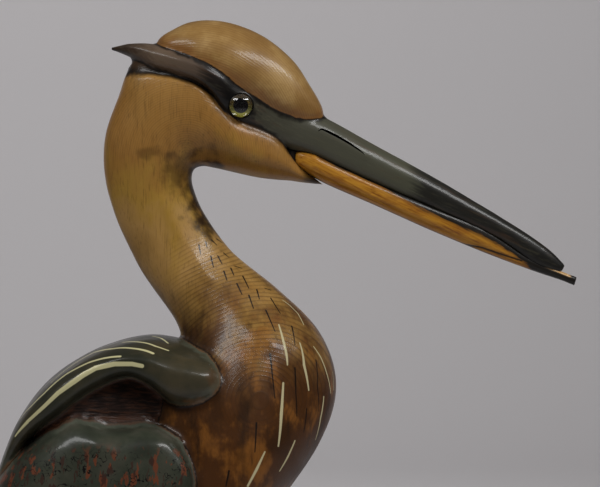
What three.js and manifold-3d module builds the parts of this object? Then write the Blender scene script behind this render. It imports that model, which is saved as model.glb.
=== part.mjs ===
import * as THREE from 'three';
import { mergeVertices } from 'three/addons/utils/BufferGeometryUtils.js';
import Module from 'manifold-3d';

// Carved and painted wading bird on a low base, about life size. Millimetres, +Z up.
// It faces +X and is the same on both sides of the plane y = 0. The origin is the middle
// of the underside of the base.

const wasm = await Module();
wasm.setup();

// Driving sizes
const FIT_GAP = 0.3;
const BASE_LENGTH = 250;
const BASE_WIDTH = 190;
const BASE_THICK = 28;
const BASE_EDGE_ROUND = 9;
const EYE_X = 64.2;
const EYE_Z = 658.8;
const EYE_OFF_CENTRE = 17.9;
const EYE_RADIUS = 5.85;
const EYE_DOME = 4.2;
const LEG_SPREAD = 21;
const LEG_SIDES = 12;
const NOSTRIL_LENGTH = 23;
const NOSTRIL_SLOPE_DEG = -27;

// A layer of the carving is a row of cross-sections that run across the bird. Each one gives
// the lower point [x, z], the upper point [x, z], the half width, and how square its upper
// and its lower half are (2 is an ellipse, more is boxier).
const HEAD_NECK_AND_BREAST = [
  [[102.5, 622.6], [93.5, 629.5], 3.5, 2.2, 2.2],
  [[93.5, 623.4], [88.2, 635.2], 8.5, 2.6, 2.2],
  [[87.0, 624.3], [81.0, 646.0], 13.2, 3.0, 2.2],
  [[79.9, 624.8], [71.2, 652.4], 16.3, 3.0, 2.2],
  [[70.0, 626.2], [59.5, 657.2], 18.6, 3.0, 2.2],
  [[59.2, 628.6], [49.4, 670.0], 19.6, 2.8, 2.2],
  [[50.8, 630.4], [37.6, 683.6], 19.8, 2.6, 2.2],
  [[45.6, 631.1], [15.5, 682.8], 19.6, 2.5, 2.2],
  [[41.6, 629.0], [6.1, 663.3], 19.0, 2.3, 2.2],
  [[41.4, 622.0], [-0.5, 641.2], 18.0, 2.2, 2.1],
  [[47.0, 608.8], [2.3, 615.4], 17.2, 2.1, 2.1],
  [[59.7, 591.4], [16.0, 583.9], 19.0, 2.1, 2.1],
  [[80.8, 574.0], [34.3, 556.2], 28.0, 2.2, 2.1],
  [[101.0, 553.4], [34.0, 538.0], 40.5, 2.2, 2.1],
  [[108.8, 528.9], [12.0, 518.0], 49.5, 2.2, 2.1],
  [[102.0, 503.5], [18.0, 487.0], 53.5, 2.2, 2.1],
  [[82.2, 473.5], [0.0, 440.0], 55.0, 2.1, 2.1],
  [[44.6, 420.3], [-28.2, 373.4], 46.0, 2.1, 2.1],
  [[-11.8, 345.1], [-70.5, 295.8], 28.0, 2.1, 2.1],
  [[-75.2, 267.6], [-98.7, 239.4], 10.0, 2.1, 2.1],
];
const CROWN = [
  [[24.0, 686.8], [24.0, 689.2], 3.0, 2.0, 2.0],
  [[25.9, 683.1], [26.3, 692.0], 9.0, 2.0, 3.0],
  [[30.6, 679.3], [30.6, 694.8], 13.5, 2.1, 3.0],
  [[40.0, 674.6], [39.5, 698.9], 17.3, 2.1, 3.0],
  [[52.2, 669.9], [51.2, 699.9], 19.0, 2.1, 3.0],
  [[64.9, 663.3], [63.4, 697.4], 18.8, 2.1, 3.0],
  [[76.6, 656.8], [76.6, 691.1], 17.0, 2.1, 3.0],
  [[87.4, 651.1], [88.8, 680.7], 14.3, 2.1, 3.0],
  [[95.9, 650.2], [97.3, 668.0], 11.0, 2.1, 3.0],
  [[100.6, 651.1], [101.5, 660.5], 8.0, 2.0, 2.4],
  [[102.5, 652.5], [102.9, 655.8], 3.5, 2.0, 2.0],
];
const CREST_BAND_AND_UPPER_BILL = [
  [[3.1, 685.8], [3.1, 687.1], 0.8, 2.0, 2.0],
  [[6.6, 684.5], [6.6, 688.0], 4.0, 2.2, 2.4],
  [[13.6, 681.4], [12.2, 688.9], 9.5, 2.6, 3.0],
  [[22.1, 678.2], [22.1, 689.0], 15.5, 3.0, 4.0],
  [[32.9, 675.6], [33.4, 687.8], 19.8, 3.2, 4.0],
  [[43.7, 671.8], [46.1, 684.5], 21.2, 3.2, 4.0],
  [[50.8, 664.3], [57.3, 679.0], 21.0, 3.2, 3.6],
  [[55.0, 655.4], [64.9, 673.2], 20.0, 3.0, 3.0],
  [[62.5, 649.5], [71.9, 669.3], 18.4, 3.0, 3.0],
  [[73.8, 643.0], [78.5, 664.0], 15.4, 3.0, 3.0],
  [[84.6, 639.2], [87.9, 660.2], 12.8, 2.6, 3.4],
  [[97.3, 636.1], [102.0, 654.9], 11.2, 2.2, 4.0],
  [[117.5, 627.1], [120.8, 644.8], 9.6, 2.0, 4.2],
  [[152.8, 611.6], [156.0, 625.3], 8.0, 2.0, 4.2],
  [[183.3, 597.5], [187.1, 606.9], 6.4, 2.0, 3.6],
  [[202.1, 584.6], [206.8, 593.8], 4.6, 2.0, 3.0],
  [[212.0, 581.3], [214.8, 586.3], 2.8, 2.0, 2.4],
  [[214.6, 582.0], [216.0, 584.4], 1.2, 2.0, 2.0],
];
const MANTLE = [
  [[57.5, 525.0], [56.5, 540.0], 43.0, 2.4, 2.4],
  [[52.8, 520.5], [50.5, 546.0], 51.0, 2.2, 3.0],
  [[43.8, 519.6], [43.0, 548.5], 53.0, 2.2, 4.0],
  [[34.0, 521.2], [33.0, 551.0], 53.2, 2.2, 4.5],
  [[24.0, 529.6], [21.2, 552.2], 53.0, 2.2, 5.0],
  [[12.8, 534.0], [7.0, 549.6], 52.6, 2.2, 5.0],
  [[-2.0, 527.8], [-9.4, 543.0], 52.0, 2.2, 5.0],
  [[-17.8, 516.2], [-26.8, 530.3], 50.5, 2.2, 5.0],
  [[-32.2, 504.5], [-40.0, 511.5], 45.0, 2.2, 4.0],
  [[-42.0, 485.0], [-50.4, 484.0], 32.0, 2.2, 3.0],
  [[-49.0, 462.0], [-56.0, 462.0], 12.0, 2.2, 2.2],
];
const WINGS_AND_BACK = [
  [[41.5, 499.0], [36.5, 508.7], 50.0, 3.0, 3.0],
  [[45.5, 488.0], [24.0, 513.0], 59.5, 4.0, 5.0],
  [[45.5, 471.0], [3.7, 513.0], 62.5, 4.2, 5.5],
  [[42.5, 456.0], [-17.5, 516.5], 63.0, 4.0, 5.5],
  [[32.5, 431.0], [-49.0, 487.0], 61.0, 3.4, 5.5],
  [[12.0, 387.0], [-58.0, 439.0], 55.0, 2.4, 5.0],
  [[-15.0, 345.0], [-69.0, 385.0], 42.0, 2.3, 4.0],
  [[-50.0, 308.0], [-83.0, 338.0], 27.0, 2.3, 3.0],
  [[-84.0, 281.0], [-97.0, 300.0], 10.0, 2.2, 2.2],
];
const HOLLOW_FLOOR = [
  [[46.0, 498.0], [46.0, 530.0], 34.0, 2.6, 2.6],
  [[30.0, 497.0], [30.0, 536.0], 38.5, 3.0, 3.0],
  [[10.0, 497.0], [8.0, 541.0], 42.0, 3.0, 3.0],
  [[-12.0, 497.0], [-14.0, 530.0], 45.0, 3.0, 3.0],
  [[-26.0, 492.0], [-30.0, 512.0], 38.0, 2.6, 2.6],
];
const GAPE = [
  [[76.0, 630.0], [76.0, 644.0], 6.0, 2.4, 2.4],
  [[88.0, 629.0], [88.0, 643.0], 7.4, 2.4, 2.4],
  [[100.0, 627.0], [100.0, 641.0], 6.0, 2.4, 2.4],
];
const TAIL = [
  [[-22.0, 335.0], [-46.0, 354.0], 21.0, 2.6, 2.6],
  [[-60.0, 289.0], [-75.0, 301.0], 26.0, 3.0, 3.0],
  [[-97.0, 242.0], [-107.0, 251.0], 25.0, 3.0, 3.0],
  [[-121.0, 209.0], [-128.0, 214.5], 17.0, 3.0, 3.0],
  [[-125.0, 203.5], [-130.5, 208.0], 9.0, 2.6, 2.6],
];
const LOWER_BILL = [
  [[87.9, 634.4], [87.6, 637.2], 3.0, 2.2, 2.2],
  [[90.2, 630.8], [90.6, 638.9], 8.0, 3.0, 2.6],
  [[96.5, 627.0], [98.0, 637.6], 10.0, 3.4, 2.6],
  [[104.8, 622.5], [103.9, 634.6], 10.0, 3.6, 2.4],
  [[126.9, 612.9], [125.5, 624.4], 8.9, 3.6, 2.4],
  [[152.8, 601.3], [152.8, 613.1], 7.5, 3.6, 2.4],
  [[178.1, 590.8], [178.1, 602.5], 6.0, 3.4, 2.3],
  [[198.8, 583.0], [198.5, 589.0], 4.1, 3.0, 2.3],
  [[213.9, 577.8], [212.9, 582.6], 2.7, 2.6, 2.3],
  [[220.4, 575.2], [221.6, 579.2], 2.0, 2.4, 2.3],
];
const RIGHT_LEG_LINE = [
  { x: 7, z: BASE_THICK + FIT_GAP, radius: 8.0 },
  { x: 6.6, z: 36, radius: 6.6 },
  { x: 4, z: 70, radius: 5.4 },
  { x: -3, z: 150, radius: 5.2 },
  { x: -7, z: 190, radius: 6.6 },
  { x: -8, z: 204, radius: 8.2 },
  { x: -7, z: 218, radius: 6.9 },
  { x: -3, z: 270, radius: 6.6 },
  { x: 0, z: 330, radius: 8.2 },
  { x: 2, z: 374, radius: 9.0 },
];

// Passes smoothly through a row of equally long number lists.
function smoothRow(rows, along) {
  const last = rows.length - 1;
  const first = Math.min(Math.floor(along * last), last - 1);
  const step = along * last - first;
  const slopeAt = (index, item) => {
    const before = rows[Math.max(index - 1, 0)][item];
    const after = rows[Math.min(index + 1, last)][item];
    return (after - before) / 2;
  };
  return rows[0].map((_, item) => {
    const start = rows[first][item];
    const end = rows[first + 1][item];
    const startSlope = slopeAt(first, item);
    const endSlope = slopeAt(first + 1, item);
    const bend = 2 * (start - end) + startSlope + endSlope;
    const lean = 3 * (end - start) - 2 * startSlope - endSlope;
    return start + step * (startSlope + step * (lean + step * bend));
  });
}

// Closed skin over rings of points, with a middle point closing each end.
function skin(rings) {
  const around = rings[0].length;
  const points = rings.flat();
  const triangles = [];
  for (let row = 0; row < rings.length - 1; row += 1) {
    for (let column = 0; column < around; column += 1) {
      const next = (column + 1) % around;
      const a = row * around + column;
      const b = row * around + next;
      const c = (row + 1) * around + next;
      const d = (row + 1) * around + column;
      triangles.push(a, b, c, a, c, d);
    }
  }
  for (const end of [0, rings.length - 1]) {
    const middle = new THREE.Vector3();
    rings[end].forEach((point) => middle.addScaledVector(point, 1 / around));
    const middleIndex = points.push(middle) - 1;
    for (let column = 0; column < around; column += 1) {
      const here = end * around + column;
      const next = end * around + ((column + 1) % around);
      triangles.push(...(end === 0 ? [middleIndex, next, here] : [middleIndex, here, next]));
    }
  }
  const geometry = new THREE.BufferGeometry().setFromPoints(points);
  geometry.setIndex(triangles);
  return geometry;
}

function layerGeometry(sections, rowCount, around, grow = 0) {
  const flat = sections.map(([low, high, half, upperSquare, lowerSquare]) => (
    [...low, ...high, half, upperSquare, lowerSquare]
  ));
  const rings = [];
  for (let row = 0; row <= rowCount; row += 1) {
    const [lowX, lowZ, highX, highZ, half, upperSquare, lowerSquare] = smoothRow(flat, row / rowCount);
    const rise = new THREE.Vector3(highX - lowX, 0, highZ - lowZ);
    const halfHeight = rise.length() / 2 + grow;
    rise.normalize();
    const middle = new THREE.Vector3((lowX + highX) / 2, 0, (lowZ + highZ) / 2);
    const ring = [];
    for (let column = 0; column < around; column += 1) {
      const angle = (2 * Math.PI * column) / around;
      const up = Math.sin(angle);
      const side = Math.cos(angle);
      const power = 2 / (up > 0 ? upperSquare : lowerSquare);
      const lift = Math.sign(up) * Math.abs(up) ** power * halfHeight;
      const reach = Math.sign(side) * Math.abs(side) ** power * (half + grow);
      ring.push(middle.clone().addScaledVector(rise, lift).setY(reach));
    }
    rings.push(ring);
  }
  if (grow > 0) {
    for (const [end, inner] of [[0, 1], [rowCount, rowCount - 1]]) {
      const push = rings[end][0].clone().sub(rings[inner][0]).setY(0).normalize().multiplyScalar(grow);
      rings[end].forEach((point) => point.add(push));
    }
  }
  return skin(rings);
}

function solidOf(geometry) {
  const bare = new THREE.BufferGeometry();
  bare.setAttribute('position', geometry.getAttribute('position').clone());
  if (geometry.index) bare.setIndex(geometry.index.clone());
  const merged = mergeVertices(bare, 1e-4);
  const positions = merged.getAttribute('position').array;
  const index = merged.index.array;
  const kept = [];
  let sixVolumes = 0;
  for (let corner = 0; corner < index.length; corner += 3) {
    const [a, b, c] = [index[corner], index[corner + 1], index[corner + 2]];
    if (a !== b && b !== c && a !== c) kept.push(a, b, c);
    const [pa, pb, pc] = [a, b, c].map((vertex) => new THREE.Vector3().fromArray(positions, vertex * 3));
    sixVolumes += pa.dot(pb.cross(pc));
  }
  if (sixVolumes < 0) kept.reverse();
  const solid = new wasm.Manifold(new wasm.Mesh({
    numProp: 3,
    vertProperties: new Float32Array(positions),
    triVerts: new Uint32Array(kept),
  }));
  return solid;
}

function layer(sections, rowCount, around, grow = 0) {
  return solidOf(layerGeometry(sections, rowCount, around, grow));
}

function geometryOf(solid) {
  const mesh = solid.getMesh();
  const geometry = new THREE.BufferGeometry();
  const positions = new Float32Array((mesh.vertProperties.length / mesh.numProp) * 3);
  for (let vertex = 0; vertex < positions.length / 3; vertex += 1) {
    for (let axis = 0; axis < 3; axis += 1) {
      positions[vertex * 3 + axis] = mesh.vertProperties[vertex * mesh.numProp + axis];
    }
  }
  geometry.setAttribute('position', new THREE.BufferAttribute(positions, 3));
  geometry.setIndex(Array.from(mesh.triVerts));
  geometry.computeVertexNormals();
  return geometry;
}

function namedMesh(name, geometry, colour, roughness, metalness = 0) {
  const material = new THREE.MeshStandardMaterial({ color: colour, roughness, metalness });
  const mesh = new THREE.Mesh(geometry, material);
  mesh.name = name;
  return mesh;
}

// Round leg with a swollen middle joint; every ring lies level, so both ends are flat.
function legGeometry(side, grow = 0) {
  const rows = RIGHT_LEG_LINE.map(({ x, z, radius }) => [x, z, radius]);
  const rowCount = 18;
  const rings = [];
  for (let row = 0; row <= rowCount; row += 1) {
    const [x, z, radius] = smoothRow(rows, row / rowCount);
    const endPush = row === rowCount ? grow : 0;
    const ring = [];
    for (let column = 0; column < LEG_SIDES; column += 1) {
      const angle = (2 * Math.PI * (column + 0.5)) / LEG_SIDES;
      ring.push(new THREE.Vector3(
        x + (radius + grow) * Math.cos(angle),
        side * LEG_SPREAD + (radius + grow) * Math.sin(angle),
        z + endPush,
      ));
    }
    rings.push(ring);
  }
  return skin(rings);
}

function eyeGeometry(side, grow = 0) {
  const geometry = new THREE.SphereGeometry(1, 18, 10);
  geometry.scale(EYE_RADIUS + grow, EYE_RADIUS + grow, EYE_DOME + grow);
  geometry.rotateX(Math.PI / 2);
  geometry.translate(EYE_X, side * EYE_OFF_CENTRE, EYE_Z);
  return geometry;
}

function nostrilCut(side) {
  const geometry = new THREE.SphereGeometry(1, 12, 8);
  geometry.scale(NOSTRIL_LENGTH / 2, 3.4, 0.8);
  geometry.rotateY(THREE.MathUtils.degToRad(-NOSTRIL_SLOPE_DEG));
  geometry.translate(111, side * 9.6, 642.2);
  return solidOf(geometry);
}

function baseGeometry() {
  const halfLength = BASE_LENGTH / 2;
  const profile = [new THREE.Vector2(0, 0), new THREE.Vector2(halfLength - 2, 0), new THREE.Vector2(halfLength, 2)];
  const steps = 5;
  for (let step = 0; step <= steps; step += 1) {
    const turn = (Math.PI / 2) * (step / steps);
    profile.push(new THREE.Vector2(
      halfLength - BASE_EDGE_ROUND * (1 - Math.cos(turn)),
      BASE_THICK - BASE_EDGE_ROUND * (1 - Math.sin(turn)),
    ));
  }
  profile.push(new THREE.Vector2(0, BASE_THICK));
  const geometry = new THREE.LatheGeometry(profile, 44);
  geometry.rotateX(Math.PI / 2);
  geometry.scale(1, BASE_WIDTH / BASE_LENGTH, 1);
  return geometry;
}

let carving = layer(HEAD_NECK_AND_BREAST, 40, 20)
  .add(layer(CREST_BAND_AND_UPPER_BILL, 34, 18))
  .add(layer(CROWN, 16, 18))
  .add(layer(MANTLE, 18, 20))
  .add(layer(WINGS_AND_BACK, 18, 20))
  .add(layer(HOLLOW_FLOOR, 6, 16))
  .add(layer(GAPE, 4, 12))
  .add(layer(TAIL, 8, 12));
carving = carving.subtract(layer(LOWER_BILL, 24, 14, FIT_GAP));
for (const side of [-1, 1]) {
  carving = carving.subtract(solidOf(eyeGeometry(side, FIT_GAP)));
  carving = carving.subtract(solidOf(legGeometry(side, FIT_GAP)));
  carving = carving.subtract(nostrilCut(side));
}
const pieces = carving.decompose();
pieces.sort((one, other) => other.volume() - one.volume());
carving = pieces[0];

const heron = new THREE.Group();
heron.add(namedMesh('heron_body', geometryOf(carving), 0x9a7638, 0.42));
heron.add(namedMesh('lower_bill', geometryOf(layer(LOWER_BILL, 24, 14)), 0xbe8128, 0.4));
for (const [label, side] of [['right', -1], ['left', 1]]) {
  heron.add(namedMesh(`${label}_eye`, geometryOf(solidOf(eyeGeometry(side))), 0x7a7a3a, 0.05));
  heron.add(namedMesh(`${label}_leg`, geometryOf(solidOf(legGeometry(side))), 0x3f4a42, 0.45));
}
heron.add(namedMesh('base', geometryOf(solidOf(baseGeometry())), 0x5a3a20, 0.45));

export default heron;
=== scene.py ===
import math

import bmesh
import bpy
import numpy as np
from mathutils import Matrix, Vector, noise
from mathutils.bvhtree import BVHTree
from mathutils.kdtree import KDTree


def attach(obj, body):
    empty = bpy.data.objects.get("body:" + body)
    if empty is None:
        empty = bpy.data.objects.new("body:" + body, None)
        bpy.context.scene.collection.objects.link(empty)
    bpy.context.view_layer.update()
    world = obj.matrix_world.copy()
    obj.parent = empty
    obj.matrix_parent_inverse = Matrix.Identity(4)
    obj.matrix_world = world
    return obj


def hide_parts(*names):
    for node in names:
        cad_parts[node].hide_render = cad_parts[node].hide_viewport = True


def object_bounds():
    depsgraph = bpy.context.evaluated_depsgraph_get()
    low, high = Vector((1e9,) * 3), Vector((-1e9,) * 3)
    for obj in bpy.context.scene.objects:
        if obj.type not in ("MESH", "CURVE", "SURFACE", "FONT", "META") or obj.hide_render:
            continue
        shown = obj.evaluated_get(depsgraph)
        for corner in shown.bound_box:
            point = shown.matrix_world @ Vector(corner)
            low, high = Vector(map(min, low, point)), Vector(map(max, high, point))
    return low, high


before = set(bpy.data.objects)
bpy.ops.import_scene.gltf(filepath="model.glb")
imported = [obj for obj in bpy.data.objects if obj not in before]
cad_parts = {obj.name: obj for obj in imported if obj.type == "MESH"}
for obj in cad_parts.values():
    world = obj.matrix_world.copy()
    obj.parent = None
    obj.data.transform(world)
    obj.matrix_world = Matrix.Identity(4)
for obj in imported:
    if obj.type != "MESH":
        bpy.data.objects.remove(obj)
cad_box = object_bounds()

# Carved wooden heron, painted, stained and varnished. Sizes here are in millimetres and turn
# into metres only where a mesh is made. The bird faces +X and its own right side faces -Y.

MM = 0.001
FIT_GAP = 0.3
MM_PER_PIXEL = 0.47
PIXEL_AT_ORIGIN = 105
HEIGHT_AT_TOP = 709.4
CAMERA_PLACE = (91.65, -1200.0, 594.95)
EYE_X, EYE_Z = 64.2, 658.8
EYE_OFF_CENTRE = 17.9
EYE_RADIUS = 5.85
EYE_DOME = 4.2
LEG_SPREAD = 21.0
BASE_LENGTH, BASE_WIDTH, BASE_THICK = 250.0, 190.0, 28.0
BASE_EDGE_ROUND = 9.0

# Cross-sections across the bird: lower point x, z, upper point x, z, half width, and how square
# the upper and the lower half are (2 is an ellipse, more is boxier).
HEAD_NECK_AND_BREAST = [
    (102.5, 622.6, 93.5, 629.5, 3.5, 2.2, 2.2),
    (93.5, 623.4, 88.2, 635.2, 9.2, 2.6, 2.2),
    (87.0, 624.3, 81.0, 646.0, 14.0, 3.0, 2.2),
    (79.9, 624.8, 71.2, 652.4, 17.0, 3.0, 2.2),
    (70.0, 626.2, 59.5, 657.2, 19.0, 3.0, 2.2),
    (59.2, 628.6, 49.4, 670.0, 19.6, 2.8, 2.2),
    (50.8, 630.4, 37.6, 683.6, 19.8, 2.6, 2.2),
    (45.6, 631.1, 15.5, 682.8, 19.6, 2.5, 2.2),
    (41.6, 629.0, 6.1, 663.3, 19.0, 2.3, 2.2),
    (41.4, 622.0, -0.5, 641.2, 18.0, 2.2, 2.1),
    (47.0, 608.8, 2.3, 615.4, 17.2, 2.1, 2.1),
    (59.7, 591.4, 16.0, 583.9, 19.0, 2.1, 2.1),
    (80.8, 574.0, 34.3, 556.2, 28.0, 2.2, 2.1),
    (101.0, 553.4, 34.0, 538.0, 40.5, 2.2, 2.1),
    (108.8, 528.9, 12.0, 518.0, 49.5, 2.2, 2.1),
    (102.0, 503.5, 18.0, 487.0, 53.5, 2.2, 2.1),
    (82.2, 473.5, 0.0, 440.0, 55.0, 2.1, 2.1),
    (44.6, 420.3, -28.2, 373.4, 46.0, 2.1, 2.1),
    (-11.8, 345.1, -70.5, 295.8, 28.0, 2.1, 2.1),
    (-75.2, 267.6, -98.7, 239.4, 10.0, 2.1, 2.1),
]
CROWN = [
    (24.0, 686.8, 24.0, 689.2, 3.0, 2.0, 2.0),
    (25.9, 683.1, 26.3, 692.0, 9.0, 1.9, 3.0),
    (30.6, 677.3, 30.6, 694.8, 14.5, 1.85, 2.6),
    (40.0, 670.6, 39.5, 698.9, 18.6, 1.85, 2.2),
    (52.2, 662.4, 51.2, 699.9, 20.6, 1.85, 2.0),
    (64.9, 656.0, 63.4, 697.4, 20.6, 1.85, 2.0),
    (76.6, 651.4, 76.6, 691.1, 18.6, 1.85, 2.0),
    (87.4, 648.1, 88.8, 680.7, 15.4, 1.9, 2.2),
    (95.9, 649.2, 97.3, 668.0, 11.6, 2.0, 2.6),
    (100.6, 651.1, 101.5, 660.5, 8.2, 2.0, 2.4),
    (102.5, 652.5, 102.9, 655.8, 3.5, 2.0, 2.0),
]
CREST_BAND_AND_UPPER_BILL = [
    (3.1, 685.8, 3.1, 687.1, 0.8, 2.0, 2.0),
    (6.6, 684.5, 6.6, 688.0, 4.0, 2.2, 2.4),
    (13.6, 681.4, 12.2, 688.9, 9.5, 2.6, 3.0),
    (22.1, 676.6, 22.1, 688.8, 15.5, 2.2, 4.0),
    (32.9, 673.4, 33.4, 686.2, 19.8, 2.2, 5.0),
    (43.7, 669.6, 46.1, 682.2, 21.4, 2.3, 5.0),
    (50.8, 663.2, 57.3, 676.4, 21.4, 2.6, 4.6),
    (55.0, 655.0, 64.9, 670.0, 20.0, 3.0, 3.0),
    (62.5, 649.5, 71.9, 666.4, 18.2, 3.0, 3.0),
    (73.8, 643.0, 78.5, 662.6, 15.2, 3.0, 3.0),
    (84.6, 639.2, 87.9, 660.2, 12.8, 2.6, 3.4),
    (97.3, 636.1, 102.0, 654.9, 11.2, 2.2, 4.0),
    (117.5, 627.1, 120.8, 644.8, 9.6, 2.0, 4.2),
    (152.8, 611.6, 156.0, 625.3, 8.0, 2.0, 4.2),
    (183.3, 597.5, 187.1, 606.9, 6.4, 2.0, 3.6),
    (202.1, 584.6, 206.8, 593.8, 4.6, 2.0, 3.0),
    (212.0, 581.3, 214.8, 586.3, 2.8, 2.0, 2.4),
    (214.6, 582.0, 216.0, 584.4, 1.2, 2.0, 2.0),
]
MANTLE = [
    (57.5, 525.0, 56.5, 540.0, 43.0, 2.4, 2.4),
    (52.8, 520.5, 50.5, 546.0, 51.0, 2.2, 3.0),
    (43.8, 519.6, 43.0, 548.5, 53.0, 2.2, 4.0),
    (34.0, 521.2, 33.0, 551.0, 53.2, 2.2, 4.5),
    (24.0, 529.6, 21.2, 552.2, 53.0, 2.2, 5.0),
    (12.8, 534.0, 7.0, 549.6, 52.6, 2.2, 5.0),
    (-2.0, 527.8, -9.4, 543.0, 52.0, 2.2, 5.0),
    (-17.8, 516.2, -26.8, 530.3, 50.5, 2.2, 5.0),
    (-32.2, 504.5, -40.0, 511.5, 45.0, 2.2, 4.0),
    (-42.0, 485.0, -50.4, 484.0, 32.0, 2.2, 3.0),
    (-49.0, 462.0, -56.0, 462.0, 12.0, 2.2, 2.2),
]
WINGS_AND_BACK = [
    (41.5, 499.0, 36.5, 508.7, 50.0, 3.0, 3.0),
    (45.5, 488.0, 24.0, 513.0, 59.5, 4.0, 5.0),
    (45.5, 471.0, 3.7, 513.0, 62.5, 4.2, 5.5),
    (42.5, 456.0, -17.5, 515.0, 63.0, 4.0, 5.5),
    (32.5, 431.0, -49.0, 487.0, 61.0, 3.4, 5.5),
    (12.0, 387.0, -58.0, 439.0, 55.0, 2.4, 5.0),
    (-15.0, 345.0, -69.0, 385.0, 42.0, 2.3, 4.0),
    (-50.0, 308.0, -83.0, 338.0, 27.0, 2.3, 3.0),
    (-84.0, 281.0, -97.0, 300.0, 10.0, 2.2, 2.2),
]
HOLLOW_FLOOR = [
    (46.0, 498.0, 46.0, 530.0, 34.0, 2.6, 2.6),
    (30.0, 497.0, 30.0, 536.0, 38.5, 3.0, 3.0),
    (10.0, 497.0, 8.0, 541.0, 42.0, 3.0, 3.0),
    (-12.0, 497.0, -14.0, 530.0, 45.0, 3.0, 3.0),
    (-26.0, 492.0, -30.0, 512.0, 38.0, 2.6, 2.6),
]
GAPE = [
    (76.0, 630.0, 76.0, 644.0, 6.0, 2.4, 2.4),
    (88.0, 629.0, 88.0, 643.0, 7.4, 2.4, 2.4),
    (100.0, 627.0, 100.0, 641.0, 6.0, 2.4, 2.4),
]
TAIL = [
    (-22.0, 335.0, -46.0, 354.0, 21.0, 2.6, 2.6),
    (-60.0, 289.0, -75.0, 301.0, 26.0, 3.0, 3.0),
    (-97.0, 242.0, -107.0, 251.0, 25.0, 3.0, 3.0),
    (-121.0, 209.0, -128.0, 214.5, 17.0, 3.0, 3.0),
    (-125.0, 203.5, -130.5, 208.0, 9.0, 2.6, 2.6),
]
LOWER_BILL = [
    (87.9, 634.4, 87.6, 637.2, 3.0, 2.2, 2.2),
    (90.2, 630.8, 90.6, 638.9, 8.0, 3.0, 2.6),
    (96.5, 627.0, 98.0, 637.6, 10.0, 3.4, 2.6),
    (104.8, 622.5, 103.9, 634.6, 10.0, 3.6, 2.4),
    (126.9, 612.9, 125.5, 624.4, 8.9, 3.6, 2.4),
    (152.8, 601.3, 152.8, 613.1, 7.5, 3.6, 2.4),
    (178.1, 590.8, 178.1, 602.5, 6.0, 3.4, 2.3),
    (198.8, 583.0, 198.5, 589.0, 4.1, 3.0, 2.3),
    (213.9, 577.8, 212.9, 582.6, 2.7, 2.6, 2.3),
    (220.4, 575.2, 221.6, 579.2, 2.0, 2.4, 2.3),
]
RIGHT_LEG_LINE = [
    (7.0, 28.3, 8.0),
    (6.6, 36.0, 6.6),
    (4.0, 70.0, 5.4),
    (-3.0, 150.0, 5.2),
    (-7.0, 190.0, 6.6),
    (-8.0, 204.0, 8.2),
    (-7.0, 218.0, 6.9),
    (-3.0, 270.0, 6.6),
    (0.0, 330.0, 8.2),
    (2.0, 374.0, 9.0),
]


def between(rows, along):
    """Passes smoothly through a table of equally long rows; along is an array from 0 to 1."""
    table = np.array(rows, float)
    last = len(table) - 1
    place = np.clip(along, 0, 1) * last
    first = np.minimum(place.astype(int), last - 1)
    step = (place - first)[:, None]
    padded = np.vstack((table[:1], table, table[-1:]))
    slopes = (padded[2:] - padded[:-2]) / 2
    start, end = table[first], table[first + 1]
    bend = 2 * (start - end) + slopes[first] + slopes[first + 1]
    lean = 3 * (end - start) - 2 * slopes[first] - slopes[first + 1]
    return start + step * (slopes[first] + step * (lean + step * bend))


def even_rows(sections, count, crowd=1.0, crowd_until=0.0):
    """Row places that are evenly spread over the skin, closer together up to crowd_until."""
    fine = np.linspace(0, 1, 3000)
    table = between(sections, fine)
    low = np.hypot(np.diff(table[:, 0]), np.diff(table[:, 1]))
    high = np.hypot(np.diff(table[:, 2]), np.diff(table[:, 3]))
    middle = (fine[1:] + fine[:-1]) / 2
    weight = np.where(middle < crowd_until, crowd, 1.0)
    reach = np.concatenate(([0], np.cumsum((low + high + 1e-4) * weight)))
    return np.interp(np.linspace(0, reach[-1], count + 1), reach, fine)


def section_rings(sections, along, around, grow=0.0):
    low_x, low_z, high_x, high_z, half, upper, lower = between(sections, along).T
    rise = np.stack((high_x - low_x, high_z - low_z))
    height = np.linalg.norm(rise, axis=0)
    rise = rise / height
    angle = 2 * math.pi * np.arange(around) / around
    up, side = np.sin(angle), np.cos(angle)
    power = np.where(up > 0, 2 / upper[:, None], 2 / lower[:, None])
    lift = np.sign(up) * np.abs(up) ** power * (height / 2 + grow)[:, None]
    reach = np.sign(side) * np.abs(side) ** power * (half + grow)[:, None]
    x = ((low_x + high_x) / 2)[:, None] + rise[0][:, None] * lift
    z = ((low_z + high_z) / 2)[:, None] + rise[1][:, None] * lift
    return np.stack((x, reach, z), axis=2)


def skin(name, rings, material=None):
    """A closed mesh over rings of points, with a fan at each end, faces outward."""
    rows, around, _ = rings.shape
    points = np.concatenate((rings.reshape(-1, 3), rings[:1].mean(axis=1), rings[-1:].mean(axis=1)))
    row = np.arange(rows - 1)[:, None] * around
    here = np.arange(around)
    beside = (here + 1) % around
    quads = np.stack((row + here, row + beside, row + around + beside, row + around + here), axis=2)
    quads = quads.reshape(-1, 4)
    last = (rows - 1) * around
    first_fan = np.stack((np.full(around, rows * around), beside, here), axis=1)
    last_fan = np.stack((np.full(around, rows * around + 1), last + here, last + beside), axis=1)
    corner = points[quads[:, 0]]
    volume = np.einsum("ij,ij->", corner, np.cross(points[quads[:, 1]], points[quads[:, 2]]))
    volume += np.einsum("ij,ij->", corner, np.cross(points[quads[:, 2]], points[quads[:, 3]]))
    faces = quads.tolist() + first_fan.tolist() + last_fan.tolist()
    if volume < 0:
        faces = [face[::-1] for face in faces]
    mesh = bpy.data.meshes.new(name)
    mesh.from_pydata((points * MM).tolist(), [], faces)
    mesh.polygons.foreach_set("use_smooth", np.ones(len(mesh.polygons), bool))
    if material:
        mesh.materials.append(material)
    made = bpy.data.objects.new(name, mesh)
    bpy.context.scene.collection.objects.link(made)
    return made


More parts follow.
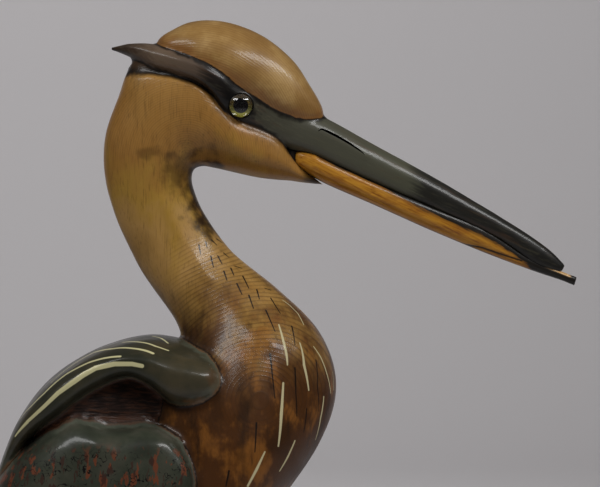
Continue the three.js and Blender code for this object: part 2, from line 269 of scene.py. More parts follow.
def layer(name, sections, rows, around, material=None, grow=0.0, **crowding):
    along = even_rows(sections, rows, **crowding)
    rings = section_rings(sections, along, around, grow)
    if grow:
        for end, inner in ((0, 1), (-1, -2)):
            push = (rings[end].mean(axis=0) - rings[inner].mean(axis=0)) * (1, 0, 1)
            rings[end] += push / np.linalg.norm(push) * grow
    return skin(name, rings, material)


def keep_mesh(thing, dropped=()):
    """Turns an object's modifiers into its plain mesh and removes the helpers they used."""
    graph = bpy.context.evaluated_depsgraph_get()
    mesh = bpy.data.meshes.new_from_object(thing.evaluated_get(graph))
    thing.modifiers.clear()
    thing.data = mesh
    mesh.name = thing.name
    for helper in dropped:
        bpy.data.objects.remove(helper)
    return mesh


def join_or_cut(thing, helpers, operation):
    for helper in helpers:
        step = thing.modifiers.new(helper.name, "BOOLEAN")
        step.solver = "MANIFOLD"
        step.operation = operation
        step.material_mode = "TRANSFER"
        step.object = helper
    return keep_mesh(thing, helpers)


def vertex_array(mesh, item="co", source=None, width=3):
    source = mesh.vertices if source is None else source
    values = np.empty(len(source) * width)
    source.foreach_get(item, values)
    return values.reshape(-1, width) if width > 1 else values


def distance_to(points, targets, far):
    """Distance in mm from each point to the nearest target, no more than far."""
    tree = KDTree(len(targets))
    for number, target in enumerate(targets):
        tree.insert(target, number)
    tree.balance()
    return np.array([min(tree.find(point)[2], far) for point in points])


def write_attribute(mesh, name, values):
    mesh.attributes.new(name, "FLOAT", "POINT").data.foreach_set("value", np.asarray(values, np.float32))


def linear(hex_colour):
    channels = (int(hex_colour[at:at + 2], 16) / 255 for at in (1, 3, 5))
    return (*(c / 12.92 if c <= 0.04045 else ((c + 0.055) / 1.055) ** 2.4 for c in channels), 1.0)


def add(tree, kind, inputs=None, out=0, stops=None, **settings):
    """Adds a node and returns one of its outputs. An input that is a socket is linked."""
    node = tree.nodes.new(kind)
    for name, value in settings.items():
        setattr(node, name, value)
    if stops:
        elements = node.color_ramp.elements
        elements[0].position, elements[0].color = stops[0]
        elements[1].position, elements[1].color = stops[-1]
        for position, colour in stops[1:-1]:
            elements.new(position).color = colour
    for key, value in (inputs or {}).items():
        if isinstance(value, bpy.types.NodeSocket):
            tree.links.new(value, node.inputs[key])
        else:
            node.inputs[key].default_value = value
    return node if out is None else node.outputs[out]


def new_group(name, inputs, outputs):
    tree = bpy.data.node_groups.new(name, "ShaderNodeTree")
    for label, kind in inputs.items():
        tree.interface.new_socket(label, in_out="INPUT", socket_type=kind)
    for label, kind in outputs.items():
        tree.interface.new_socket(label, in_out="OUTPUT", socket_type=kind)
    return tree, add(tree, "NodeGroupInput", out=None).outputs, add(tree, "NodeGroupOutput", out=None)


def growth_ring_group():
    """Year rings cut by the carving: thin dark late-wood lines round Heart, Ring width apart."""
    tree, given, result = new_group(
        "growth_rings",
        {"Place": "NodeSocketVector", "Heart": "NodeSocketVector", "Squeeze": "NodeSocketVector",
         "Ring width": "NodeSocketFloat"},
        {"Late wood": "NodeSocketFloat"},
    )
    drift = add(tree, "ShaderNodeTexNoise", {"Vector": given["Place"], "Scale": 0.03, "Detail": 1.0}, out=1)
    drift = add(tree, "ShaderNodeVectorMath", {0: drift, 1: (-0.5, -0.5, -0.5)}, operation="ADD")
    drift = add(tree, "ShaderNodeVectorMath", {0: drift, 1: (4.0, 4.0, 4.0), 2: given["Place"]},
                operation="MULTIPLY_ADD")
    from_heart = add(tree, "ShaderNodeVectorMath", {0: drift, 1: given["Heart"]}, operation="SUBTRACT")
    squeezed = add(tree, "ShaderNodeVectorMath", {0: from_heart, 1: given["Squeeze"]}, operation="MULTIPLY")
    radius = add(tree, "ShaderNodeVectorMath", {0: squeezed}, operation="LENGTH", out=1)
    turns = add(tree, "ShaderNodeMath", {0: radius, 1: given["Ring width"]}, operation="DIVIDE")
    year = add(tree, "ShaderNodeMath", {0: turns}, operation="FLOOR")
    phase = add(tree, "ShaderNodeMath", {0: turns}, operation="FRACT")
    rise = add(tree, "ShaderNodeMapRange", {0: phase, 1: 0.4, 2: 0.86}, interpolation_type="SMOOTHSTEP")
    drop = add(tree, "ShaderNodeMapRange", {0: phase, 1: 0.88, 2: 1.0, 3: 1.0, 4: 0.0})
    line = add(tree, "ShaderNodeMath", {0: rise, 1: drop}, operation="MULTIPLY")
    season = add(tree, "ShaderNodeTexWhiteNoise", {"W": year}, noise_dimensions="1D")
    season = add(tree, "ShaderNodeMapRange", {0: season, 3: 0.45, 4: 1.0})
    late = add(tree, "ShaderNodeMath", {0: line, 1: season}, operation="MULTIPLY")
    tree.links.new(late, result.inputs[0])
    return tree


def soft_spot_group():
    """1 inside an egg-shaped patch, fading to 0 at its ragged edge."""
    tree, given, result = new_group(
        "soft_spot",
        {"Place": "NodeSocketVector", "Centre": "NodeSocketVector", "Reach": "NodeSocketVector"},
        {"Patch": "NodeSocketFloat"},
    )
    away = add(tree, "ShaderNodeVectorMath", {0: given[0], 1: given[1]}, operation="SUBTRACT")
    away = add(tree, "ShaderNodeVectorMath", {0: away, 1: given[2]}, operation="DIVIDE")
    away = add(tree, "ShaderNodeVectorMath", {0: away}, operation="LENGTH", out=1)
    ragged = add(tree, "ShaderNodeTexNoise", {"Vector": given[0], "Scale": 0.16, "Detail": 4.0})
    ragged = add(tree, "ShaderNodeMapRange", {0: ragged, 1: 0.3, 2: 0.7, 3: -0.35, 4: 0.35})
    away = add(tree, "ShaderNodeMath", {0: away, 1: ragged}, operation="ADD")
    patch = add(tree, "ShaderNodeMapRange", {0: away, 1: 0.25, 2: 1.0, 3: 1.0, 4: 0.0},
                interpolation_type="SMOOTHSTEP")
    tree.links.new(patch, result.inputs[0])
    return tree


def painted_stroke_group():
    """One brush mark from Start to End, laid on the skin that faces along Facing."""
    tree, given, result = new_group(
        "painted_stroke",
        {"Place": "NodeSocketVector", "Start": "NodeSocketVector", "End": "NodeSocketVector",
         "Facing": "NodeSocketVector", "Start width": "NodeSocketFloat", "End width": "NodeSocketFloat"},
        {"Mark": "NodeSocketFloat"},
    )
    run = add(tree, "ShaderNodeVectorMath", {0: given["End"], 1: given["Start"]}, operation="SUBTRACT")
    here = add(tree, "ShaderNodeVectorMath", {0: given["Place"], 1: given["Start"]}, operation="SUBTRACT")
    along = add(tree, "ShaderNodeVectorMath", {0: here, 1: run}, operation="DOT_PRODUCT", out=1)
    whole = add(tree, "ShaderNodeVectorMath", {0: run, 1: run}, operation="DOT_PRODUCT", out=1)
    share = add(tree, "ShaderNodeMath", {0: along, 1: whole}, operation="DIVIDE", use_clamp=True)
    on_run = add(tree, "ShaderNodeVectorMath", {0: run, 3: share}, operation="SCALE")
    away = add(tree, "ShaderNodeVectorMath", {0: here, 1: on_run}, operation="SUBTRACT")
    above = add(tree, "ShaderNodeVectorMath", {0: away, 1: given["Facing"]}, operation="DOT_PRODUCT", out=1)
    above_part = add(tree, "ShaderNodeVectorMath", {0: given["Facing"], 3: above}, operation="SCALE")
    level = add(tree, "ShaderNodeVectorMath", {0: away, 1: above_part}, operation="SUBTRACT")
    level = add(tree, "ShaderNodeVectorMath", {0: level}, operation="LENGTH", out=1)
    half = add(tree, "ShaderNodeMapRange", {0: share, 3: given["Start width"], 4: given["End width"]})
    inside = add(tree, "ShaderNodeMath", {0: half, 1: level}, operation="SUBTRACT")
    mark = add(tree, "ShaderNodeMapRange", {0: inside, 1: -0.22, 2: 0.22}, interpolation_type="SMOOTHSTEP")
    near = add(tree, "ShaderNodeMath", {0: above, 1: 0.0, 2: 9.0}, operation="COMPARE")
    mark = add(tree, "ShaderNodeMath", {0: mark, 1: near}, operation="MULTIPLY")
    tree.links.new(mark, result.inputs[0])
    return tree


GROWTH_RINGS = growth_ring_group()
SOFT_SPOT = soft_spot_group()
PAINTED_STROKE = painted_stroke_group()


def varnished(name, roughness=0.38, coat=0.18, coat_roughness=0.12):
    """A new material under satin varnish; gives its tree, its shader and the place in mm."""
    material = bpy.data.materials.new(name)
    material.use_nodes = True
    tree = material.node_tree
    shader = tree.nodes["Principled BSDF"]
    shader.inputs["IOR"].default_value = 1.5
    shader.inputs["Specular IOR Level"].default_value = 0.14
    shader.inputs["Coat Weight"].default_value = coat
    shader.inputs["Coat Roughness"].default_value = coat_roughness
    coordinates = add(tree, "ShaderNodeTexCoord", out="Object")
    place = add(tree, "ShaderNodeVectorMath", {0: coordinates, 1: (1 / MM,) * 3}, operation="MULTIPLY")
    rubbed = add(tree, "ShaderNodeTexNoise", {"Vector": place, "Scale": 0.07, "Detail": 4.0})
    rubbed = add(tree, "ShaderNodeMapRange", {0: rubbed, 1: 0.3, 2: 0.7, 3: roughness - 0.08, 4: roughness + 0.1})
    tree.links.new(rubbed, shader.inputs["Roughness"])
    return material, tree, shader, place


def both_sides(tree, place):
    """The same place on the right side, so that a mark shows on both sides of the bird."""
    x, y, z = (add(tree, "ShaderNodeSeparateXYZ", {0: place}, out=axis) for axis in range(3))
    inward = add(tree, "ShaderNodeMath", {0: y}, operation="ABSOLUTE")
    return add(tree, "ShaderNodeCombineXYZ", {
        0: x,
        1: add(tree, "ShaderNodeMath", {0: inward, 1: -1.0}, operation="MULTIPLY"),
        2: z,
    })


def tint(tree, under, over, amount, strength=1.0):
    """Lays a colour over another, where amount is a number or a socket, times strength."""
    if strength != 1.0:
        amount = add(tree, "ShaderNodeMath", {0: amount, 1: strength}, operation="MULTIPLY")
    return add(tree, "ShaderNodeMix", {0: amount, 6: under, 7: over}, out=2, data_type="RGBA")


def surface_bump(tree, shader, height, depth_mm):
    bump = add(tree, "ShaderNodeBump", {"Strength": 1.0, "Distance": depth_mm * MM, "Height": height})
    tree.links.new(bump, shader.inputs["Normal"])
    tree.links.new(bump, shader.inputs["Coat Normal"])


def near_crease(tree, place, reach_mm, raggedness=0.35):
    """1 in a carved crease, fading out with a brushed edge reach_mm from it."""
    crease = add(tree, "ShaderNodeAttribute", attribute_name="crease_mm", out="Fac")
    ragged = add(tree, "ShaderNodeTexNoise", {"Vector": place, "Scale": 0.2, "Detail": 3.0})
    ragged = add(tree, "ShaderNodeMapRange", {0: ragged, 1: 0.3, 2: 0.7, 3: -raggedness, 4: raggedness})
    spread = add(tree, "ShaderNodeMath", {0: ragged, 1: reach_mm, 2: crease}, operation="MULTIPLY_ADD")
    return add(tree, "ShaderNodeMapRange", {0: spread, 1: 0.2 * reach_mm, 2: reach_mm, 3: 1.0, 4: 0.0},
               interpolation_type="SMOOTHSTEP")


def grown_rings(tree, place, heart, squeeze, ring_width):
    rings = add(tree, "ShaderNodeGroup", out=None)
    rings.node_tree = GROWTH_RINGS
    tree.links.new(place, rings.inputs[0])
    for number, value in enumerate((heart, squeeze, ring_width), 1):
        rings.inputs[number].default_value = value
    return rings.outputs[0]


def drawn_noise(tree, place, scale, low, high, detail=4.0, shift=0.0):
    """Noise drawn out by scale per mm on each axis, stretched from low..high to 0..1."""
    drawn = add(tree, "ShaderNodeVectorMath", {0: place, 1: scale, 2: (shift,) * 3}, operation="MULTIPLY_ADD")
    value = add(tree, "ShaderNodeTexNoise", {"Vector": drawn, "Scale": 1.0, "Detail": detail, "Roughness": 0.6})
    return add(tree, "ShaderNodeMapRange", {0: value, 1: low, 2: high}, interpolation_type="SMOOTHSTEP")


def between_heights(tree, height, low, high):
    """0 below low, 1 above high; or the other way round when low is the larger."""
    return add(tree, "ShaderNodeMapRange", {0: height, 1: low, 2: high}, interpolation_type="SMOOTHSTEP")


def spot(tree, place, centre, reach):
    patch = add(tree, "ShaderNodeGroup", out=None)
    patch.node_tree = SOFT_SPOT
    tree.links.new(place, patch.inputs[0])
    patch.inputs[1].default_value = centre
    patch.inputs[2].default_value = reach
    return patch.outputs[0]


def marks(tree, place, strokes):
    """All brush marks of one colour: (start, end, facing, start width, end width) each."""
    total = None
    for stroke_values in strokes:
        stroke = add(tree, "ShaderNodeGroup", out=None)
        stroke.node_tree = PAINTED_STROKE
        tree.links.new(place, stroke.inputs[0])
        for number, value in enumerate(stroke_values, 1):
            stroke.inputs[number].default_value = value
        mark = stroke.outputs[0]
        total = mark if total is None else add(
            tree, "ShaderNodeMath", {0: total, 1: mark}, operation="MAXIMUM")
    return total


# Brush marks, measured on the photo in pixels along each line, with the half width in
# millimetres at its start, middle and end. strokes_on finds where they lie on the skin.
BLACK_TICKS = [
    ([(199, 245), (200.5, 254)], 0.42, 0.34, 0.25),
    ([(206, 242), (207, 247)], 0.42, 0.34, 0.25),
    ([(212, 240), (217, 245)], 0.42, 0.34, 0.25),
    ([(217, 239), (223, 243)], 0.42, 0.34, 0.25),
    ([(211, 256.5), (213.5, 267)], 0.42, 0.34, 0.25),
    ([(218, 256), (222, 263.5)], 0.42, 0.34, 0.25),
    ([(224, 253), (229, 257)], 0.42, 0.34, 0.25),
    ([(224, 271), (227, 280)], 0.42, 0.34, 0.25),
    ([(231, 268), (234, 275)], 0.42, 0.34, 0.25),
    ([(235, 266), (242, 268)], 0.25, 0.25, 0.25),
    ([(243, 276), (249, 288)], 0.42, 0.34, 0.25),
    ([(237, 283.5), (242, 294)], 0.42, 0.34, 0.25),
    ([(257, 289.5), (259.5, 298.6)], 0.42, 0.34, 0.25),
    ([(265, 288), (271, 290)], 0.25, 0.25, 0.25),
    ([(249, 295), (253.5, 308)], 0.42, 0.34, 0.25),
    ([(271, 298), (280.5, 313)], 0.4, 0.32, 0.24),
    ([(266, 310), (275, 331.5)], 0.4, 0.32, 0.24),
    ([(292, 326), (295, 345)], 0.4, 0.32, 0.24),
    ([(270, 354), (272.5, 376), (275, 398)], 0.4, 0.32, 0.24),
    ([(295, 368), (296, 392), (297, 416)], 0.4, 0.32, 0.24),
    ([(316, 360), (317.5, 385.5), (319, 411)], 0.4, 0.32, 0.24),
    ([(307, 409), (304, 432)], 0.4, 0.32, 0.24),
    ([(256.5, 423), (255, 452)], 0.4, 0.32, 0.24),
    ([(229, 471), (226, 486)], 0.42, 0.34, 0.25),
]
CREAM_STROKES = [
    ([(283, 300), (290, 305), (298, 313), (304, 324.5)], 0.3, 0.5, 0.25),
    ([(279, 324.5), (283, 340), (286, 355), (287, 365)], 0.3, 0.75, 0.35),
    ([(300, 343), (304, 365), (309, 390)], 0.35, 0.7, 0.4),
    ([(314, 346.5), (321, 357), (327, 373), (331, 393)], 0.3, 0.55, 0.35),
    ([(333, 372), (334, 390)], 0.25, 0.25, 0.25),
    ([(283.5, 383), (281.5, 414), (278.5, 446)], 0.45, 0.75, 0.4),
    ([(324, 397), (321, 418), (316, 439.5)], 0.45, 0.65, 0.35),
    ([(295, 441), (288, 457), (280, 471)], 0.4, 0.6, 0.35),
    ([(265, 452), (257, 469), (248, 486)], 0.35, 0.65, 0.5),
]
MANTLE_LINES = [
    ([(15, 436), (27, 422), (44, 406.5), (58, 393), (73, 382), (84, 374), (95, 368), (114, 364),
      (132, 364), (142, 366)], 0.45, 1.25, 0.9),
    ([(19, 420), (31, 406), (44, 393), (66, 374), (88, 362.5), (103, 358), (120, 356)], 0.45, 1.1, 0.6),
    ([(51, 382), (62, 372), (73, 364), (94, 352), (111.5, 348.6), (132, 348), (152.6, 353)], 0.35, 1.1, 0.85),
    ([(123, 342), (141, 342), (155.5, 346), (168, 350)], 0.7, 1.0, 0.6),
    ([(152.6, 336), (161, 338), (168, 343)], 0.5, 0.7, 0.45),
]


def skin_tree(thing):
    points = [tuple(point) for point in vertex_array(thing.data) / MM]
    return BVHTree.FromPolygons(points, [tuple(face.vertices) for face in thing.data.polygons])


def seen_on(tree, pixel):
    """Where the line of sight through a photo pixel meets the skin, and the way it faces there."""
    camera = Vector(CAMERA_PLACE)
    on_middle_plane = Vector(((pixel[0] - PIXEL_AT_ORIGIN) * MM_PER_PIXEL, 0.0,
                              HEIGHT_AT_TOP - pixel[1] * MM_PER_PIXEL))
    place, facing, _, _ = tree.ray_cast(camera, (on_middle_plane - camera).normalized())
    return place, facing


def strokes_on(thing, painted):
    """Each painted line as short straight marks that lie on the skin of thing."""
    tree = skin_tree(thing)
    laid = []
    for line, *widths in painted:
        hits = [seen_on(tree, pixel) for pixel in line]
        half = np.interp(np.linspace(0, 2, len(line)), (0, 1, 2), widths)
        for number in range(len(line) - 1):
            (start, facing), (end, end_facing) = hits[number], hits[number + 1]
            facing = (facing + end_facing).normalized()
            laid.append((start, end, facing, half[number], half[number + 1]))
    return laid


HEAD_HEART, HEAD_SQUEEZE = (39.0, 0.0, 636.0), (1.0, 0.12, 1.0)
BREAST_HEART, BREAST_SQUEEZE = (74.0, 0.0, 524.0), (1.0, 0.12, 1.0)


def stained_basswood_crown():
    """Oil-stained pale wood: honey colour with year rings that read as fine dark arcs."""
    material, tree, shader, place = varnished("stained_basswood_crown", roughness=0.36, coat=0.2)
    late = grown_rings(tree, place, HEAD_HEART, HEAD_SQUEEZE, 1.05)
    cloud = drawn_noise(tree, place, (0.04, 0.04, 0.04), 0.3, 0.7)
    colour = add(tree, "ShaderNodeValToRGB", {0: cloud}, stops=[
        (0.0, linear("#7C5C32")), (0.5, linear("#8C6C3E")), (1.0, linear("#A28352"))])
    colour = tint(tree, colour, linear("#7A4A22"), near_crease(tree, place, 7.0), 0.5)
    colour = tint(tree, colour, linear("#5A3A1A"), late, 0.36)
    colour = tint(tree, colour, linear("#6E4E28"), drawn_noise(tree, place, (0.5, 1.6, 1.6), 0.5, 0.75), 0.3)
    # Painted shadow: a thin near-black line in the crease round the crown's edge.
    colour = tint(tree, colour, linear("#1E140D"), near_crease(tree, place, 0.9, 0.15))
    tree.links.new(colour, shader.inputs["Base Color"])
    surface_bump(tree, shader, late, 0.03)
    return material


def stained_basswood_neck(ticks, strokes):
    """Golden stain that turns red-brown down the breast, with painted shade in the creases, at the throat and under
    the crest.
    """
    material, tree, shader, place = varnished("stained_basswood_neck", roughness=0.36, coat=0.18)
    right = both_sides(tree, place)
    height = add(tree, "ShaderNodeSeparateXYZ", {0: place}, out=2)
    sway = drawn_noise(tree, place, (0.035, 0.035, 0.022), 0.3, 0.7)
    sway = add(tree, "ShaderNodeMapRange", {0: sway, 3: -22.0, 4: 22.0})
    level = add(tree, "ShaderNodeMath", {0: height, 1: sway}, operation="ADD")
    level = add(tree, "ShaderNodeMapRange", {0: level, 1: 400.0, 2: 700.0})
    colour = add(tree, "ShaderNodeValToRGB", {0: level}, stops=[
        (0.0, linear("#3C220E")), (0.33, linear("#42260F")), (0.42, linear("#462A13")),
        (0.49, linear("#583A1C")), (0.56, linear("#8A6834")), (0.63, linear("#9E7A44")), (0.7, linear("#967432")),
        (0.8, linear("#8C6430")), (0.9, linear("#97703A")), (1.0, linear("#967440"))])
    low_part = between_heights(tree, height, 590.0, 540.0)
    orange = drawn_noise(tree, place, (0.07, 0.07, 0.045), 0.5, 0.66, shift=31.0)
    orange = add(tree, "ShaderNodeMath", {0: orange, 1: low_part}, operation="MULTIPLY")
    colour = tint(tree, colour, linear("#8E5A24"), orange, 0.5)
    grime = drawn_noise(tree, place, (0.16, 0.16, 0.03), 0.52, 0.7, detail=6.0, shift=57.0)
    grime_depth = add(tree, "ShaderNodeMapRange", {0: low_part, 3: 0.15, 4: 0.7})
    grime = add(tree, "ShaderNodeMath", {0: grime, 1: grime_depth}, operation="MULTIPLY")
    colour = tint(tree, colour, linear("#26170C"), grime)
    head_rings = grown_rings(tree, place, HEAD_HEART, HEAD_SQUEEZE, 1.05)
    head_rings = add(tree, "ShaderNodeMath", {0: head_rings, 1: between_heights(
        tree, height, 622.0, 645.0)}, operation="MULTIPLY")
    breast_rings = grown_rings(tree, place, BREAST_HEART, BREAST_SQUEEZE, 1.8)
    x = add(tree, "ShaderNodeSeparateXYZ", {0: place}, out=0)
    for axis, low, high in ((height, 602.0, 588.0), (height, 496.0, 530.0), (x, 26.0, 44.0)):
        breast_rings = add(tree, "ShaderNodeMath", {0: breast_rings, 1: between_heights(
            tree, axis, low, high)}, operation="MULTIPLY")
    late = add(tree, "ShaderNodeMath", {0: head_rings, 1: breast_rings}, operation="MAXIMUM")
    colour = tint(tree, colour, linear("#3E2510"), head_rings, 0.26)
    colour = tint(tree, colour, linear("#3A2411"), breast_rings, 0.55)
    fibre = drawn_noise(tree, place, (1.5, 1.5, 0.08), 0.5, 0.78, detail=3.0)
    colour = tint(tree, colour, linear("#3E2612"), fibre, 0.45)
    # Soft dark patches. Those at the throat, under the chin and lower bill, and under the crest at the nape, are
    # painted shade; the others darken patches on the neck and breast.
    for centre, reach, strength in (
        ((47, -4, 618), (15, 24, 28), 0.92),
        ((37, -12, 628), (15, 16, 16), 0.55),
        ((49, -4, 602), (6, 14, 17), 0.65),
        ((22, -17, 637), (9, 6, 4), 0.4),
        ((78, -4, 619), (36, 16, 8), 0.65),
        ((43, -26, 541), (13, 26, 32), 0.5),
        ((66, -50, 512), (4, 18, 36), 0.55),
        ((54, -50, 520), (5, 18, 14), 0.4),
        ((84, -46, 505), (8, 20, 14), 0.5),
        ((12, -6, 676), (9, 16, 6), 0.9),
        ((99, -4, 624), (9, 14, 6), 0.95),
    ):
        patch = spot(tree, right, centre, reach)
        colour = tint(tree, colour, linear("#24160B"), patch, strength)
    # Painted shade in and beside the creases: a soft dark band, then a near-black line in the crease.
    colour = tint(tree, colour, linear("#2A190D"), near_crease(tree, place, 5.0), 0.55)
    colour = tint(tree, colour, linear("#150E09"), near_crease(tree, place, 1.2, 0.2), 0.9)
    # Painted shadow in the groove under the crest: near black low down, dark brown towards the top.
    shade = add(tree, "ShaderNodeAttribute", attribute_name="under_crest", out="Fac")
    shade_tone = add(tree, "ShaderNodeValToRGB", {0: between_heights(tree, height, 675.0, 678.5)}, stops=[
        (0.0, linear("#0F0B09")), (1.0, linear("#3A2A1C"))])
    colour = tint(tree, colour, shade_tone, shade, 0.96)
    colour = tint(tree, colour, linear("#100C0A"), marks(tree, right, ticks))
    colour = tint(tree, colour, linear("#B4AA84"), marks(tree, right, strokes))
    tree.links.new(colour, shader.inputs["Base Color"])
    surface_bump(tree, shader, add(tree, "ShaderNodeMath", {0: late, 1: fibre}, operation="ADD"), 0.03)
    return material


def along_the_bill(tree, place, stretch):
    """Place drawn out along the bill, for brush streaks that run from gape to tip."""
    return add(tree, "ShaderNodeMapping", {
        0: place, 2: (0.0, math.radians(26), 0.0), 3: stretch}, vector_type="TEXTURE")


def brushed_band_and_bill_paint():
    """Thin paint brushed over wood: brown crest, black round the eye, grey-green bill, dark tip."""
    material, tree, shader, place = varnished("brushed_band_and_bill_paint", roughness=0.36, coat=0.2)
    x = add(tree, "ShaderNodeSeparateXYZ", {0: place}, out=0)
    streak_place = along_the_bill(tree, place, (12.0, 1.0, 1.0))
    streak = add(tree, "ShaderNodeTexNoise", {"Vector": streak_place, "Scale": 0.8, "Detail": 4.0, "Roughness": 0.65})
    sway = add(tree, "ShaderNodeMapRange", {0: streak, 1: 0.3, 2: 0.7, 3: -4.0, 4: 4.0})
    reach = add(tree, "ShaderNodeMath", {0: x, 1: sway}, operation="ADD")
    reach = add(tree, "ShaderNodeMapRange", {0: reach, 1: 0.0, 2: 220.0})
    colour = add(tree, "ShaderNodeValToRGB", {0: reach}, stops=[
        (0.0, linear("#241C15")), (0.05, linear("#3A2E24")), (0.12, linear("#5E4E40")), (0.19, linear("#4E4136")),
        (0.225, linear("#1A1512")), (0.29, linear("#141110")), (0.335, linear("#3C3A30")), (0.42, linear("#46453A")),
        (0.645, linear("#464639")), (0.675, linear("#22211D")), (1.0, linear("#191816"))])
    colour = tint(tree, colour, linear("#5E5A46"), add(
        tree, "ShaderNodeMapRange", {0: streak, 1: 0.52, 2: 0.78, 4: 0.3}))
    worn = add(tree, "ShaderNodeTexNoise", {"Vector": streak_place, "Scale": 0.3, "Detail": 5.0, "Roughness": 0.7})
    colour = tint(tree, colour, linear("#4C3422"), add(
        tree, "ShaderNodeMapRange", {0: worn, 1: 0.55, 2: 0.7, 4: 0.45}))
    eye_ring = spot(tree, both_sides(tree, place), (EYE_X - 2.5, -19.5, EYE_Z + 1.5), (12.0, 14.0, 11.0))
    colour = tint(tree, colour, linear("#0C0A09"), eye_ring)
    # Painted shade: near black in and beside the creases.
    colour = tint(tree, colour, linear("#100D0B"), near_crease(tree, place, 2.2), 0.9)
    tree.links.new(colour, shader.inputs["Base Color"])
    surface_bump(tree, shader, streak, 0.08)
    return material


def olive_mantle_paint(lines):
    """Dark olive paint, rubbed brown where the shoulders were handled, with pale feather lines."""
    material, tree, shader, place = varnished("olive_mantle_paint", roughness=0.36, coat=0.22)
    right = both_sides(tree, place)
    cloud = drawn_noise(tree, place, (0.05, 0.05, 0.05), 0.3, 0.7, detail=5.0)
    colour = add(tree, "ShaderNodeValToRGB", {0: cloud}, stops=[
        (0.0, linear("#27281F")), (0.5, linear("#323024")), (1.0, linear("#3F392A"))])
    for centre, reach, tone, strength in (
        ((46, -50, 520), (10, 14, 7), "#7E4C20", 0.8),
        ((54, -48, 532), (6, 14, 12), "#4E3A26", 0.7),
    ):
        colour = tint(tree, colour, linear(tone), spot(tree, right, centre, reach), strength)
    # Beside the creases: a pale band along the lips, a painted highlight and partly pale worn paint; nearer the
    # crease, brown wood worn bare.
    colour = tint(tree, colour, linear("#5A5E50"), near_crease(tree, place, 6.5), 0.4)
    colour = tint(tree, colour, linear("#59402A"), near_crease(tree, place, 1.8), 0.9)
    # Painted shade: a thin dark line in the crease.
    colour = tint(tree, colour, linear("#20170F"), near_crease(tree, place, 0.7, 0.1), 0.8)
    colour = tint(tree, colour, linear("#B8B288"), marks(tree, right, lines))
    tree.links.new(colour, shader.inputs["Base Color"])
    surface_bump(tree, shader, cloud, 0.12)
    return material


def flecked_wing_paint():
    """Grey-green paint with dabs of rust red and squiggles of black from a dry brush."""
    material, tree, shader, place = varnished("flecked_wing_paint", roughness=0.36, coat=0.22)
    cloud = drawn_noise(tree, place, (0.045, 0.045, 0.045), 0.3, 0.7, detail=5.0)
    colour = add(tree, "ShaderNodeValToRGB", {0: cloud}, stops=[
        (0.0, linear("#272A22")), (0.5, linear("#33362C")), (1.0, linear("#403F35"))])
    height = add(tree, "ShaderNodeSeparateXYZ", {0: place}, out=2)
    below_edge = between_heights(tree, height, 507.0, 498.0)
    dabs = drawn_noise(tree, place, (0.24, 0.24, 0.085), 0.565, 0.6, detail=3.0, shift=13.0)
    dark_dabs = drawn_noise(tree, place, (0.3, 0.3, 0.1), 0.58, 0.61, detail=3.0, shift=71.0)
    colour = tint(tree, colour, linear("#673520"), add(
        tree, "ShaderNodeMath", {0: dabs, 1: below_edge}, operation="MULTIPLY"), 0.8)
    colour = tint(tree, colour, linear("#35201A"), add(
        tree, "ShaderNodeMath", {0: dark_dabs, 1: below_edge}, operation="MULTIPLY"), 0.8)
    for shift, stretch, thin in ((143.0, (0.3, 0.3, 0.22), 0.016), (211.0, (0.2, 0.2, 0.3), 0.014)):
        drawn = add(tree, "ShaderNodeVectorMath", {0: place, 1: stretch, 2: (shift,) * 3}, operation="MULTIPLY_ADD")
        line = add(tree, "ShaderNodeTexNoise", {"Vector": drawn, "Scale": 1.0, "Detail": 2.0})
        line = add(tree, "ShaderNodeMath", {0: line, 1: 0.5, 2: thin}, operation="COMPARE")
        where = drawn_noise(tree, place, (0.1, 0.1, 0.1), 0.54, 0.58, detail=2.0, shift=shift)
        where = add(tree, "ShaderNodeMath", {0: where, 1: below_edge}, operation="MULTIPLY")
        colour = tint(tree, colour, linear("#100E0D"), add(
            tree, "ShaderNodeMath", {0: line, 1: where}, operation="MULTIPLY"))
    # Beside the creases: a pale band along the lips, a painted highlight and partly pale worn paint; nearer the
    # crease, brown wood worn bare.
    colour = tint(tree, colour, linear("#6A6E60"), near_crease(tree, place, 7.0), 0.3)
    colour = tint(tree, colour, linear("#51392A"), near_crease(tree, place, 2.0), 0.9)
    # Painted shade: a thin dark line in the crease.
    colour = tint(tree, colour, linear("#20170F"), near_crease(tree, place, 0.7, 0.1), 0.8)
    tree.links.new(colour, shader.inputs["Base Color"])
    surface_bump(tree, shader, cloud, 0.12)
    return material


def dark_hollow_stain():
    """Brown-black stain in the scooped hollow, thin enough for the grain to show through."""
    material, tree, shader, place = varnished("dark_hollow_stain", roughness=0.36, coat=0.2)
    grain = drawn_noise(tree, place, (0.08, 0.8, 0.9), 0.3, 0.7)
    colour = add(tree, "ShaderNodeValToRGB", {0: grain}, stops=[
        (0.0, linear("#1C130F")), (0.5, linear("#2C1D17")), (1.0, linear("#4A2F20"))])
    colour = tint(tree, colour, linear("#4E2E1C"), near_crease(tree, place, 2.5), 0.5)
    tree.links.new(colour, shader.inputs["Base Color"])
    surface_bump(tree, shader, grain, 0.1)
    return material


def black_glaze():
    """Black paint left thick in the gape and in the sockets."""
    material, tree, shader, place = varnished("black_glaze", roughness=0.5, coat=0.15)
    cloud = drawn_noise(tree, place, (0.4, 0.4, 0.4), 0.3, 0.7)
    colour = add(tree, "ShaderNodeValToRGB", {0: cloud}, stops=[
        (0.0, linear("#0C0A08")), (1.0, linear("#1E1611"))])
    tree.links.new(colour, shader.inputs["Base Color"])
    surface_bump(tree, shader, cloud, 0.1)
    return material


